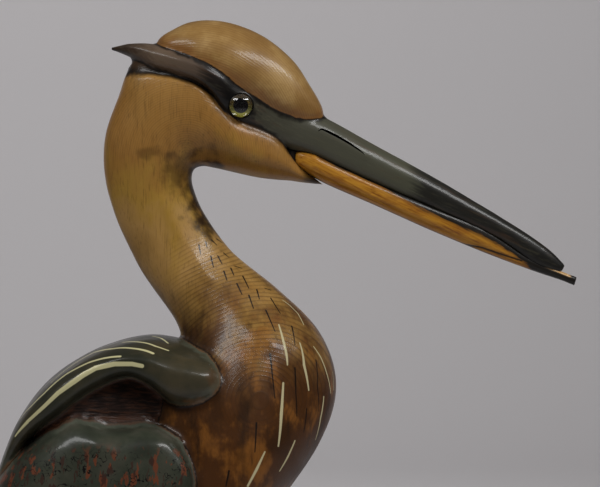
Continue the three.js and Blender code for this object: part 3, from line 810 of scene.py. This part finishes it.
def ochre_bill_paint():
    """Yellow ochre brushed lengthwise over the strip of the lower bill; bare wood at the broken tip."""
    material, tree, shader, place = varnished("ochre_bill_paint", roughness=0.42, coat=0.22)
    x = add(tree, "ShaderNodeSeparateXYZ", {0: place}, out=0)
    lift = add(tree, "ShaderNodeAttribute", attribute_name="bill_lift", out="Fac")
    crack = add(tree, "ShaderNodeAttribute", attribute_name="crack_mm", out="Fac")
    over_edge = add(tree, "ShaderNodeAttribute", attribute_name="over_paint_edge", out="Fac")
    streak_place = along_the_bill(tree, place, (16.0, 1.0, 1.0))
    streak = add(tree, "ShaderNodeTexNoise", {"Vector": streak_place, "Scale": 1.1, "Detail": 4.0, "Roughness": 0.6})
    colour = add(tree, "ShaderNodeValToRGB", {0: streak}, stops=[
        (0.32, linear("#7A4A16")), (0.46, linear("#A06C20")), (0.62, linear("#B07C28")), (0.8, linear("#BC8C3A"))])
    colour = tint(tree, colour, linear("#7E4A1A"), drawn_noise(
        tree, place, (0.07, 0.2, 0.2), 0.5, 0.65), 0.45)
    edge = add(tree, "ShaderNodeMapRange", {0: lift, 1: -0.99, 2: -0.9, 3: 0.8, 4: 0.0})
    colour = tint(tree, colour, linear("#2A180B"), edge)
    sway = add(tree, "ShaderNodeMapRange", {0: streak, 1: 0.3, 2: 0.7, 3: -1.0, 4: 1.0})
    band = add(tree, "ShaderNodeMath", {0: over_edge, 1: sway}, operation="ADD")
    colour = tint(tree, colour, linear("#4A2A12"), between_heights(tree, band, -1.8, 0.0), 0.6)
    colour = tint(tree, colour, linear("#1A1713"), between_heights(tree, band, -0.3, 0.5))
    bare = [add(tree, "ShaderNodeMapRange", {0: lift, 1: 0.2, 2: 0.45}),
            add(tree, "ShaderNodeMapRange", {0: x, 1: 206.0, 2: 210.0}),
            add(tree, "ShaderNodeMapRange", {0: x, 1: 218.0, 2: 219.2, 3: 1.0, 4: 0.0})]
    broken_face = add(tree, "ShaderNodeMath", {0: bare[0], 1: bare[1]}, operation="MULTIPLY")
    broken_face = add(tree, "ShaderNodeMath", {0: broken_face, 1: bare[2]}, operation="MULTIPLY")
    colour = tint(tree, colour, linear("#B08A56"), broken_face)
    colour = tint(tree, colour, linear("#140C07"), add(
        tree, "ShaderNodeMapRange", {0: crack, 1: 0.2, 2: 0.55, 3: 0.95, 4: 0.0}))
    tree.links.new(colour, shader.inputs["Base Color"])
    surface_bump(tree, shader, streak, 0.1)
    return material


def clear_eye_glass():
    """Clear pressed glass: a bright wet gleam over the iris."""
    material = bpy.data.materials.new("clear_eye_glass")
    material.use_nodes = True
    shader = material.node_tree.nodes["Principled BSDF"]
    shader.inputs["Base Color"].default_value = (1.0, 1.0, 1.0, 1.0)
    shader.inputs["Roughness"].default_value = 0.02
    shader.inputs["IOR"].default_value = 1.5
    shader.inputs["Transmission Weight"].default_value = 1.0
    return material


def painted_iris():
    """Black pupil in an iris that is yellow-green below and brown above, the brown being painted shade, with fine
    spokes.
    """
    material, tree, shader, place = varnished("painted_iris", roughness=0.6, coat=0.0)
    shader.inputs["Specular IOR Level"].default_value = 0.02
    x, z = (add(tree, "ShaderNodeSeparateXYZ", {0: place}, out=axis) for axis in (0, 2))
    x = add(tree, "ShaderNodeMath", {0: x, 1: -EYE_X}, operation="ADD")
    z = add(tree, "ShaderNodeMath", {0: z, 1: -EYE_Z}, operation="ADD")
    flat = add(tree, "ShaderNodeCombineXYZ", {0: x, 1: z})
    radius = add(tree, "ShaderNodeVectorMath", {0: flat}, operation="LENGTH", out=1)
    angle = add(tree, "ShaderNodeMath", {0: x, 1: z}, operation="ARCTAN2")
    spokes = add(tree, "ShaderNodeTexNoise", {"Vector": add(tree, "ShaderNodeCombineXYZ", {0: add(
        tree, "ShaderNodeMath", {0: angle, 1: 6.0}, operation="MULTIPLY"), 1: radius}),
        "Scale": 1.4, "Detail": 2.0})
    # Yellow-green below turning brown above: the brown upper half is painted shade.
    level = add(tree, "ShaderNodeMapRange", {0: z, 1: -4.5, 2: 4.5})
    colour = add(tree, "ShaderNodeValToRGB", {0: level}, stops=[
        (0.0, linear("#C2BC3C")), (0.3, linear("#8E8A36")), (0.6, linear("#6C5A30")), (1.0, linear("#5C4A2A"))])
    colour = tint(tree, colour, linear("#4A4420"), add(
        tree, "ShaderNodeMapRange", {0: spokes, 1: 0.45, 2: 0.7, 4: 0.6}))
    rim = add(tree, "ShaderNodeMapRange", {0: radius, 1: 3.9, 2: 4.3})
    colour = tint(tree, colour, linear("#24221A"), rim)
    pupil = add(tree, "ShaderNodeMapRange", {0: radius, 1: 2.65, 2: 2.85, 3: 1.0, 4: 0.0})
    colour = tint(tree, colour, linear("#030303"), pupil)
    tree.links.new(colour, shader.inputs["Base Color"])
    return material


def stained_leg_rod():
    """Hardwood rod under dark grey-green stain, worn to brown on the raised scales."""
    material, tree, shader, place = varnished("stained_leg_rod", roughness=0.42, coat=0.3)
    drawn = add(tree, "ShaderNodeVectorMath", {0: place, 1: (0.7, 0.7, 0.06)}, operation="MULTIPLY")
    grain = add(tree, "ShaderNodeTexNoise", {"Vector": drawn, "Scale": 1.0, "Detail": 4.0, "Roughness": 0.6})
    colour = add(tree, "ShaderNodeValToRGB", {0: grain}, stops=[
        (0.3, linear("#26261F")), (0.5, linear("#3A3B30")), (0.72, linear("#574A35"))])
    groove = add(tree, "ShaderNodeAttribute", attribute_name="scale_groove", out="Fac")
    colour = tint(tree, colour, linear("#15120E"), add(
        tree, "ShaderNodeMath", {0: groove, 1: 0.85}, operation="MULTIPLY"))
    tree.links.new(colour, shader.inputs["Base Color"])
    surface_bump(tree, shader, grain, 0.12)
    return material


def walnut_stained_base():
    """Flat-sawn plank in walnut stain: long cathedral grain across the top, darker at the rim."""
    material, tree, shader, place = varnished("walnut_stained_base", roughness=0.4, coat=0.4)
    drift = add(tree, "ShaderNodeTexNoise", {"Vector": place, "Scale": 0.012, "Detail": 2.0}, out=1)
    drift = add(tree, "ShaderNodeVectorMath", {0: drift, 1: (30.0, 30.0, 30.0), 2: place}, operation="MULTIPLY_ADD")
    heart = add(tree, "ShaderNodeVectorMath", {0: drift, 1: (0.0, -12.0, 34.0)}, operation="ADD")
    heart = add(tree, "ShaderNodeVectorMath", {0: heart, 1: (0.09, 1.0, 1.5)}, operation="MULTIPLY")
    radius = add(tree, "ShaderNodeVectorMath", {0: heart}, operation="LENGTH", out=1)
    turns = add(tree, "ShaderNodeMath", {0: radius, 1: 4.6}, operation="DIVIDE")
    phase = add(tree, "ShaderNodeMath", {0: turns}, operation="FRACT")
    rise = add(tree, "ShaderNodeMapRange", {0: phase, 1: 0.2, 2: 0.85}, interpolation_type="SMOOTHSTEP")
    drop = add(tree, "ShaderNodeMapRange", {0: phase, 1: 0.88, 2: 1.0, 3: 1.0, 4: 0.0})
    late = add(tree, "ShaderNodeMath", {0: rise, 1: drop}, operation="MULTIPLY")
    drawn = add(tree, "ShaderNodeVectorMath", {0: place, 1: (0.03, 0.9, 0.9)}, operation="MULTIPLY")
    pores = add(tree, "ShaderNodeTexNoise", {"Vector": drawn, "Scale": 1.0, "Detail": 4.0, "Roughness": 0.65})
    colour = tint(tree, linear("#6B4526"), linear("#3A2212"), late)
    colour = tint(tree, colour, linear("#27160C"), add(
        tree, "ShaderNodeMapRange", {0: pores, 1: 0.5, 2: 0.72, 4: 0.7}))
    tree.links.new(colour, shader.inputs["Base Color"])
    surface_bump(tree, shader, pores, 0.12)
    return material


def pale_backdrop_cloth():
    """Plain pale cloth behind and under the piece."""
    material = bpy.data.materials.new("pale_backdrop_cloth")
    material.use_nodes = True
    shader = material.node_tree.nodes["Principled BSDF"]
    shader.inputs["Base Color"].default_value = linear("#E2DFE0")
    shader.inputs["Roughness"].default_value = 0.9
    return material


NOSTRIL_PATH = [
    (100.2, 647.3, 0.15), (101.9, 648.2, 0.45), (105.7, 646.5, 0.6), (110.3, 644.2, 0.6),
    (115.5, 641.1, 0.5), (119.6, 638.3, 0.35), (121.8, 636.4, 0.1),
]
CREST_SHADE_EDGE = [
    (5.0, 674.6), (12.0, 673.8), (17.7, 673.2), (22.4, 673.6), (25.9, 672.9), (30.8, 672.4), (35.7, 671.0),
    (40.7, 669.7), (45.6, 667.3), (50.5, 664.2), (53.0, 661.4), (56.0, 656.5),
]
RIDGES = [
    ([(29.5, 614.0), (34.0, 604.0), (43.0, 588.0), (48.0, 580.0)], 3.4, 0.7),
    ([(68.0, 556.5), (76.0, 553.5), (83.5, 546.5), (86.5, 541.0)], 3.2, 0.9),
    ([(91.5, 546.0), (96.5, 540.0), (98.5, 533.0)], 3.0, 0.6),
]
OCHRE_TOP_EDGE = [
    (88.0, 641.0), (98.0, 637.5), (101.0, 634.6), (112.7, 629.2), (129.0, 621.6), (147.7, 611.5), (161.7, 605.2),
    (175.7, 599.4), (185.0, 594.3), (192.0, 590.0), (197.6, 585.4), (202.0, 580.0), (204.0, 560.0), (225.0, 540.0),
]
BILL_CRACK = [(165.0, 595.6), (169.3, 594.3), (176.8, 592.9), (185.2, 590.0), (195.5, 586.8)]


def inside_cad_box(points):
    low, high = (np.array(corner) / MM for corner in cad_box)
    return np.clip(points, low, high)


def nostril_cutter(side, material):
    along = np.linspace(0, 1, 40)
    x, z, half = between(NOSTRIL_PATH, along).T
    run_x, run_z = np.gradient(x), np.gradient(z)
    length = np.hypot(run_x, run_z)
    angle = 2 * math.pi * np.arange(16) / 16
    lift = half[:, None] * np.sin(angle)
    reach = side * (9.6 + 3.4 * np.cos(angle))
    rings = np.stack((
        x[:, None] - (run_z / length)[:, None] * lift,
        np.broadcast_to(reach, lift.shape),
        z[:, None] + (run_x / length)[:, None] * lift,
    ), axis=2)
    return skin("nostril_cutter", rings, material)


def round_rings(profile, around):
    """Rings of a turned shape on the Z axis from (radius, height) pairs."""
    angle = 2 * math.pi * np.arange(around) / around
    return np.array([
        np.stack((radius * np.cos(angle), radius * np.sin(angle), np.full(around, height)), axis=1)
        for radius, height in profile
    ])


def on_eye_axis(rings, side):
    """Turns a shape from the Z axis onto the axis of the right (-1) or left (1) eye."""
    turned = np.stack((rings[..., 0], rings[..., 2] * side, rings[..., 1]), axis=-1)
    return turned + (EYE_X, side * EYE_OFF_CENTRE, EYE_Z)


def eye_socket_cutter(side, material):
    angle = np.linspace(-88, 88, 25)
    profile = [((EYE_RADIUS + FIT_GAP) * math.cos(math.radians(a)),
                (EYE_DOME + FIT_GAP) * math.sin(math.radians(a))) for a in angle]
    return skin("eye_socket_cutter", on_eye_axis(round_rings(profile, 48), side), material)


def leg_rings(grow, rows, around):
    table = between(RIGHT_LEG_LINE, np.linspace(0, 1, rows))
    angle = 2 * math.pi * np.arange(around) / around
    radius = table[:, 2] + grow
    rings = np.stack((
        table[:, :1] + radius[:, None] * np.cos(angle),
        radius[:, None] * np.sin(angle),
        np.broadcast_to(table[:, 1:2], (rows, around)),
    ), axis=2)
    rings[-1] += (0, 0, grow)
    return rings


def faces_by_edge(mesh):
    """For each edge the material numbers of its two faces, as two arrays."""
    owner = np.empty(len(mesh.loops), int)
    count = vertex_array(mesh, "loop_total", mesh.polygons, 1).astype(int)
    owner[:] = np.repeat(vertex_array(mesh, "material_index", mesh.polygons, 1).astype(int), count)
    edge = vertex_array(mesh, "edge_index", mesh.loops, 1).astype(int)
    low = np.full(len(mesh.edges), 99)
    high = np.full(len(mesh.edges), -1)
    np.minimum.at(low, edge, owner)
    np.maximum.at(high, edge, owner)
    return low, high


def boundary_edges(mesh, black):
    """Which edges border a black cut face, and which are carved creases between two finishes."""
    low, high = faces_by_edge(mesh)
    black_number = [slot.name for slot in mesh.materials].index(black.name)
    cut = (low != high) & ((low == black_number) | (high == black_number))
    return cut, (low != high) & ~cut


def refine_creases(mesh, black):
    """Splits the longer edges beside the creases once. Flaps of two faces back to back come off."""
    edges = vertex_array(mesh, "vertices", mesh.edges, 2).astype(int)
    cut, crease = boundary_edges(mesh, black)
    points = vertex_array(mesh) / MM
    near = distance_to(points, points[np.unique(edges[crease])], 30.0) < 2.2
    length = np.linalg.norm(points[edges[:, 0]] - points[edges[:, 1]], axis=1)
    to_split = near[edges].all(axis=1) & (length > 0.9)
    work = bmesh.new()
    work.from_mesh(mesh)
    work.edges.ensure_lookup_table()
    chosen = [work.edges[number] for number in np.nonzero(to_split)[0]]
    bmesh.ops.subdivide_edges(work, edges=chosen, cuts=1)
    many_sided = [face for face in work.faces if len(face.verts) > 4]
    bmesh.ops.triangulate(work, faces=many_sided)
    same_corners = {}
    for face in work.faces:
        same_corners.setdefault(frozenset(face.verts), []).append(face)
    flaps = [face for faces in same_corners.values() if len(faces) > 1 for face in faces]
    bmesh.ops.delete(work, geom=flaps, context="FACES")
    work.to_mesh(mesh)
    work.free()


def soften(points, edges, share, rounds):
    """Rounds the skin by moving each point towards its neighbours, by its share from 0 to 1."""
    degree = np.bincount(edges.ravel(), minlength=len(points))[:, None]
    for _ in range(rounds):
        pull = np.zeros_like(points)
        np.add.at(pull, edges[:, 0], points[edges[:, 1]])
        np.add.at(pull, edges[:, 1], points[edges[:, 0]])
        points = points + share[:, None] * 0.5 * (pull / np.maximum(degree, 1) - points)
    return points


def uneven(points, size_mm, seed):
    """Smooth uneven values from -1 to 1 for each point, size_mm from hump to hump."""
    shift = Vector((seed, seed * 1.7, seed * 0.6))
    return np.array([noise.noise(Vector(point) / size_mm + shift) for point in points])


def swelling(points, path, spread):
    """1 on a drawn (x, z) line and fading out over spread mm, seen from the side."""
    best = np.full(len(points), 1e9)
    here = points[:, [0, 2]]
    for start, end in zip(path, path[1:]):
        start, run = np.array(start, float), np.array(end, float) - np.array(start, float)
        share = np.clip((here - start) @ run / (run @ run), 0, 1)
        best = np.minimum(best, np.linalg.norm(here - start - share[:, None] * run, axis=1))
    return np.exp(-(best / spread) ** 2)


def under_crest_edge(points):
    """Height of the lower edge of the dark groove under the crest, for each point."""
    edge_x, edge_z = np.array(CREST_SHADE_EDGE).T
    return np.interp(points[:, 0], edge_x, edge_z)


def carve_heron():
    black = black_glaze()
    carving = layer("heron_carving", HEAD_NECK_AND_BREAST, 310, 150, crowd=1.7, crowd_until=0.5)
    carving.data.materials.append(stained_basswood_neck(
        strokes_on(carving, BLACK_TICKS), strokes_on(carving, CREAM_STROKES)))
    mantle = layer("mantle", MANTLE, 120, 120)
    mantle.data.materials.append(olive_mantle_paint(strokes_on(mantle, MANTLE_LINES)))
    points = vertex_array(carving.data) / MM
    over_groove = points[:, 2] - under_crest_edge(points)
    groove = np.clip((over_groove + 1.0) / 1.6, 0, 1) * np.clip((60 - points[:, 0]) / 4, 0, 1)
    groove = groove * (points[:, 2] > 650)
    points[:, 1] -= np.sign(points[:, 1]) * np.minimum(np.abs(points[:, 1]), 2.6 * groove)
    facing = np.sign(points[:, 1])[:, None] * np.array([(0.0, 1.0, 0.0)])
    for path, spread, rise in RIDGES:
        points += facing * (rise * swelling(points, path, spread))[:, None]
    carving.data.vertices.foreach_set("co", (points * MM).ravel())
    wing = flecked_wing_paint()
    join_or_cut(carving, [
        layer("band", CREST_BAND_AND_UPPER_BILL, 300, 72, brushed_band_and_bill_paint()),
        layer("crown", CROWN, 90, 110, stained_basswood_crown()),
        mantle,
        layer("wings", WINGS_AND_BACK, 150, 120, wing),
        layer("hollow", HOLLOW_FLOOR, 50, 60, dark_hollow_stain()),
        layer("gape", GAPE, 30, 32, black),
        layer("tail", TAIL, 60, 48, wing),
    ], "UNION")
    cutters = [layer("bill_slot", LOWER_BILL, 120, 40, black, grow=FIT_GAP)]
    for side in (-1, 1):
        socket = skin("leg_socket", leg_rings(FIT_GAP, 60, 32) + (0, side * LEG_SPREAD, 0), black)
        cutters += [eye_socket_cutter(side, black), socket, nostril_cutter(side, black)]
    mesh = join_or_cut(carving, cutters, "DIFFERENCE")

    refine_creases(mesh, black)
    points = vertex_array(mesh) / MM
    edges = vertex_array(mesh, "vertices", mesh.edges, 2).astype(int)
    cut, crease = boundary_edges(mesh, black)
    to_cut = distance_to(points, points[np.unique(edges[cut])], 30.0)
    crease_edges = edges[crease]
    ends = np.bincount(crease_edges.ravel(), minlength=len(points))
    free_ends = np.where(ends == 2, np.clip(to_cut - 0.5, 0, 1), 0)
    points = soften(points, crease_edges, free_ends, 20)
    to_crease = distance_to(points, points[np.unique(crease_edges)], 30.0)
    calm = np.clip(to_cut - 0.8, 0, 1)
    points = soften(points, edges, np.clip((2.4 - to_crease) / 1.4, 0, 1) * calm, 40)

    mesh.vertices.foreach_set("co", (points * MM).ravel())
    normals = vertex_array(mesh, "vector", mesh.vertex_normals)
    # How much of the painted shadow under the crest falls on each point, from 0 to 1.
    shade = points[:, 2] - under_crest_edge(points)
    shade = np.clip(shade / 1.4 + 0.5, 0, 1) * (points[:, 0] < 57) * (points[:, 2] > 640)
    sunk = 0.25 * (0.5 + 0.5 * uneven(points, 15.0, 3.0)) + 0.08 * (0.5 + 0.5 * uneven(points, 5.0, 9.0))
    sunk = sunk * np.clip((to_cut - 0.5) / 3, 0, 1)
    points = points - normals * sunk[:, None]
    mesh.vertices.foreach_set("co", (inside_cad_box(points) * MM).ravel())
    write_attribute(mesh, "crease_mm", to_crease)
    write_attribute(mesh, "under_crest", shade)
    sharp = mesh.attributes.new("sharp_edge", "BOOLEAN", "EDGE")
    sharp.data.foreach_set("value", cut)
    mesh.update()
    return carving


def lower_bill_strip():
    rows, around = 240, 56
    along = even_rows(LOWER_BILL, rows)
    rings = section_rings(LOWER_BILL, along, around)
    strip = skin("lower_bill_strip", rings, ochre_bill_paint())
    mesh = strip.data
    points = vertex_array(mesh) / MM
    lift = np.concatenate((np.tile(np.sin(2 * math.pi * np.arange(around) / around), rows + 1), (0, 0)))
    here = points[:, [0, 2]]
    to_crack = np.full(len(points), 30.0)
    for start, end in zip(BILL_CRACK, BILL_CRACK[1:]):
        start, run = np.array(start), np.array(end) - np.array(start)
        part = np.clip((here - start) @ run / (run @ run), 0, 1)
        to_crack = np.minimum(to_crack, np.linalg.norm(here - start - part[:, None] * run, axis=1))
    to_crack[points[:, 1] > 0] = 30.0
    depth = 0.6 * np.clip(1 - to_crack / 0.55, 0, 1)
    normals = vertex_array(mesh, "vector", mesh.vertex_normals)
    for nick_x, nick_z in ((99.6, 629.2), (125.7, 618.5)):
        away = np.hypot(here[:, 0] - nick_x, here[:, 1] - nick_z) / 0.8
        depth += 0.5 * np.exp(-away ** 2) * (points[:, 1] < 0)
    broken = np.clip((points[:, 0] - 208) / 2, 0, 1)
    depth += broken * 0.2 * (0.5 + 0.5 * uneven(points, 1.3, 5.0))
    points = points - normals * depth[:, None]
    mesh.vertices.foreach_set("co", (inside_cad_box(points) * MM).ravel())
    edge_x, edge_z = np.array(OCHRE_TOP_EDGE).T
    write_attribute(mesh, "over_paint_edge", points[:, 2] - np.interp(points[:, 0], edge_x, edge_z))
    write_attribute(mesh, "bill_lift", lift)
    write_attribute(mesh, "crack_mm", to_crack)
    mesh.update()
    return strip


def glass_eye(name, side, glass):
    profile = [(0.05, EYE_DOME)]
    profile += [(EYE_RADIUS * math.sin(math.radians(a)), EYE_DOME * math.cos(math.radians(a)))
                for a in range(6, 91, 6)]
    profile += [(5.8, -0.3), (5.65, -0.55), (5.4, -0.6), (3.0, -0.6), (0.05, -0.6)]
    return skin(name, on_eye_axis(round_rings(profile, 64), side), glass)


def iris_disc(name, side, paint):
    profile = [(0.05, -0.75), (2.5, -0.75), (5.2, -0.75), (5.45, -0.85), (5.5, -1.1), (5.3, -1.3), (0.05, -1.3)]
    return skin(name, on_eye_axis(round_rings(profile, 64), side), paint)


def leg_tree():
    """A rod along a line whose points carry rod_radius, with grooves between carved scales."""
    tree = bpy.data.node_groups.new("scaled_leg_rod", "GeometryNodeTree")
    tree.interface.new_socket("Geometry", in_out="INPUT", socket_type="NodeSocketGeometry")
    for label, kind in (("Rings along", "NodeSocketInt"), ("Points around", "NodeSocketInt"),
                        ("Scale length", "NodeSocketFloat"), ("Groove depth", "NodeSocketFloat"),
                        ("Finish", "NodeSocketMaterial")):
        tree.interface.new_socket(label, in_out="INPUT", socket_type=kind)
    tree.interface.new_socket("Geometry", in_out="OUTPUT", socket_type="NodeSocketGeometry")
    given = add(tree, "NodeGroupInput", out=None).outputs
    line = add(tree, "GeometryNodeMeshToCurve", {"Mesh": given["Geometry"]})
    line = add(tree, "GeometryNodeResampleCurve", {"Curve": line, "Count": given["Rings along"]})
    radius = add(tree, "GeometryNodeInputNamedAttribute", {"Name": "rod_radius"}, data_type="FLOAT")
    run = add(tree, "GeometryNodeSplineParameter", out="Length")
    line = add(tree, "GeometryNodeStoreNamedAttribute", {
        "Geometry": line, "Name": "rod_run", "Value": run}, data_type="FLOAT", domain="POINT")
    circle = add(tree, "GeometryNodeCurvePrimitiveCircle", {"Resolution": given["Points around"], "Radius": 1.0})
    turn = add(tree, "GeometryNodeSplineParameter", out="Factor")
    circle = add(tree, "GeometryNodeStoreNamedAttribute", {
        "Geometry": circle, "Name": "rod_turn", "Value": turn}, data_type="FLOAT", domain="POINT")
    rod = add(tree, "GeometryNodeCurveToMesh", {
        "Curve": line, "Profile Curve": circle, "Scale": radius, "Fill Caps": True})
    run = add(tree, "GeometryNodeInputNamedAttribute", {"Name": "rod_run"}, data_type="FLOAT")
    turn = add(tree, "GeometryNodeInputNamedAttribute", {"Name": "rod_turn"}, data_type="FLOAT")
    sectors = add(tree, "ShaderNodeMath", {0: turn, 1: 4.0}, operation="MULTIPLY")
    sector = add(tree, "ShaderNodeMath", {0: sectors}, operation="FLOOR")
    half_step = add(tree, "ShaderNodeMath", {0: sector, 1: 0.5}, operation="MULTIPLY")
    rows = add(tree, "ShaderNodeMath", {0: run, 1: given["Scale length"]}, operation="DIVIDE")
    rows = add(tree, "ShaderNodeMath", {0: rows, 1: half_step}, operation="ADD")
    row_place = add(tree, "ShaderNodeMath", {0: rows}, operation="FRACT")
    side_place = add(tree, "ShaderNodeMath", {0: sectors}, operation="FRACT")
    grooves = []
    for position, width in ((row_place, 0.16), (side_place, 0.09)):
        middle = add(tree, "ShaderNodeMath", {0: position, 1: 0.5}, operation="SUBTRACT")
        middle = add(tree, "ShaderNodeMath", {0: middle}, operation="ABSOLUTE")
        grooves.append(add(tree, "ShaderNodeMapRange", {0: middle, 1: 0.5 - width, 2: 0.5},
                           interpolation_type="SMOOTHSTEP"))
    groove = add(tree, "ShaderNodeMath", {0: grooves[0], 1: grooves[1]}, operation="MAXIMUM")
    rod = add(tree, "GeometryNodeStoreNamedAttribute", {
        "Geometry": rod, "Name": "scale_groove", "Value": groove}, data_type="FLOAT", domain="POINT")
    depth = add(tree, "ShaderNodeMath", {0: groove, 1: given["Groove depth"]}, operation="MULTIPLY")
    inward = add(tree, "ShaderNodeMath", {0: depth, 1: -1.0}, operation="MULTIPLY")
    normal = add(tree, "GeometryNodeInputNormal")
    push = add(tree, "ShaderNodeVectorMath", {0: normal, 3: inward}, operation="SCALE")
    rod = add(tree, "GeometryNodeSetPosition", {"Geometry": rod, "Offset": push})
    rod = add(tree, "GeometryNodeSetShadeSmooth", {"Geometry": rod})
    rod = add(tree, "GeometryNodeRealizeInstances", {"Geometry": rod})
    rod = add(tree, "GeometryNodeSetMaterial", {"Geometry": rod, "Material": given["Finish"]})
    result = add(tree, "NodeGroupOutput", out=None)
    tree.links.new(rod, result.inputs["Geometry"])
    return tree


def leg_rod(name, side, tree, finish):
    table = between(RIGHT_LEG_LINE, np.linspace(0, 1, 120))
    points = np.stack((table[:, 0], np.full(120, side * LEG_SPREAD), table[:, 1]), axis=1)
    mesh = bpy.data.meshes.new(name)
    mesh.from_pydata((points * MM).tolist(), [(at, at + 1) for at in range(119)], [])
    write_attribute(mesh, "rod_radius", table[:, 2] * MM)
    rod = bpy.data.objects.new(name, mesh)
    bpy.context.scene.collection.objects.link(rod)
    step = rod.modifiers.new("scaled_leg_rod", "NODES")
    step.node_group = tree
    wanted = {"Rings along": 420, "Points around": 48, "Scale length": 0.0062, "Groove depth": 0.0004,
              "Finish": finish}
    for item in tree.interface.items_tree:
        if item.in_out == "INPUT" and item.name in wanted:
            step[item.identifier] = wanted[item.name]
    keep_mesh(rod)
    return rod


def oval_base():
    half = BASE_LENGTH / 2
    profile = [(0.5, 0.0), (half * 0.4, 0.0), (half * 0.8, 0.0), (half - 2, 0.0), (half - 1.4, 0.2), (half - 0.2, 1.4),
               (half, 2.0), (half, 6.0), (half, 12.0), (half, BASE_THICK - BASE_EDGE_ROUND)]
    for step in range(1, 17):
        turn = math.pi / 2 * step / 16
        profile.append((half - BASE_EDGE_ROUND * (1 - math.cos(turn)),
                        BASE_THICK - BASE_EDGE_ROUND * (1 - math.sin(turn))))
    profile += [(half * share, BASE_THICK) for share in (0.9, 0.86, 0.8, 0.7, 0.6, 0.45, 0.3, 0.15)]
    profile.append((0.5, BASE_THICK))
    rings = round_rings(profile, 160) * (1, BASE_WIDTH / BASE_LENGTH, 1)
    return skin("oval_base", rings, walnut_stained_base())


def studio():
    """Pale floor that sweeps up into a wall, open above, with two softboxes and a backdrop light."""
    profile = [(1.0, -0.5), (2500, -0.5), (5600, -0.5)]
    profile += [(5600 + 1400 * math.sin(turn), -0.5 + 1400 * (1 - math.cos(turn)))
                for turn in np.radians(range(10, 91, 10))]
    profile.append((7000, 2400))
    rings = round_rings(profile, 96)
    floor = skin("studio_floor", rings, pale_backdrop_cloth())
    floor.data.flip_normals()
    room = bmesh.new()
    room.from_mesh(floor.data)
    room.verts.ensure_lookup_table()
    bmesh.ops.delete(room, geom=[room.verts[-1]], context="VERTS")
    room.to_mesh(floor.data)
    room.free()
    for name, place, aim, size, power in (
        ("right_softbox", (0.94, -0.71, 1.74), (0.05, 0.0, 0.6), (1.2, 0.32), 20.0),
        ("left_softbox", (-0.78, -0.71, 1.74), (0.05, 0.0, 0.6), (1.2, 0.32), 13.5),
        ("backdrop_light", (-0.6, 3.4, 2.6), (-0.3, 7.0, 1.5), (3.0, 0.8), 57.0),
    ):
        light = bpy.data.lights.new(name, "AREA")
        light.shape = "RECTANGLE"
        light.size, light.size_y = size
        light.energy = power
        lamp = bpy.data.objects.new(name, light)
        bpy.context.scene.collection.objects.link(lamp)
        lamp.location = place
        lamp.rotation_euler = (Vector(aim) - Vector(place)).to_track_quat("-Z", "Y").to_euler()
    world = bpy.data.worlds.new("pale_room")
    world.use_nodes = True
    world.node_tree.nodes["Background"].inputs["Color"].default_value = linear("#F2EEF2")
    world.node_tree.nodes["Background"].inputs["Strength"].default_value = 0.06
    bpy.context.scene.world = world
    lens = bpy.data.cameras.new("photo_camera")
    lens.lens, lens.sensor_width = 153.2, 36.0
    camera = bpy.data.objects.new("photo_camera", lens)
    bpy.context.scene.collection.objects.link(camera)
    camera.location = Vector(CAMERA_PLACE) * MM
    camera.rotation_euler = (math.radians(90), 0, 0)
    bpy.context.scene.camera = camera
    bpy.context.scene.view_settings.view_transform = "Standard"


def own(piece, slot_name, *nodes):
    """Puts a finished piece on the part's body; it stands for the named plain solids."""
    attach(piece, "root")
    if nodes:
        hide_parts(*nodes)


glass, iris = clear_eye_glass(), painted_iris()
rod_tree, rod_finish = leg_tree(), stained_leg_rod()
own(carve_heron(), "painted_body", "heron_body")
own(lower_bill_strip(), "painted_bill", "lower_bill")
own(oval_base(), "base_wood", "base")
for side_name, side in (("right", -1), ("left", 1)):
    own(glass_eye(f"{side_name}_glass_eye", side, glass), "eye_glass", f"{side_name}_eye")
    own(iris_disc(f"{side_name}_iris", side, iris), "eye_glass")
    own(leg_rod(f"{side_name}_leg_rod", side, rod_tree, rod_finish), "leg_wood", f"{side_name}_leg")
studio()
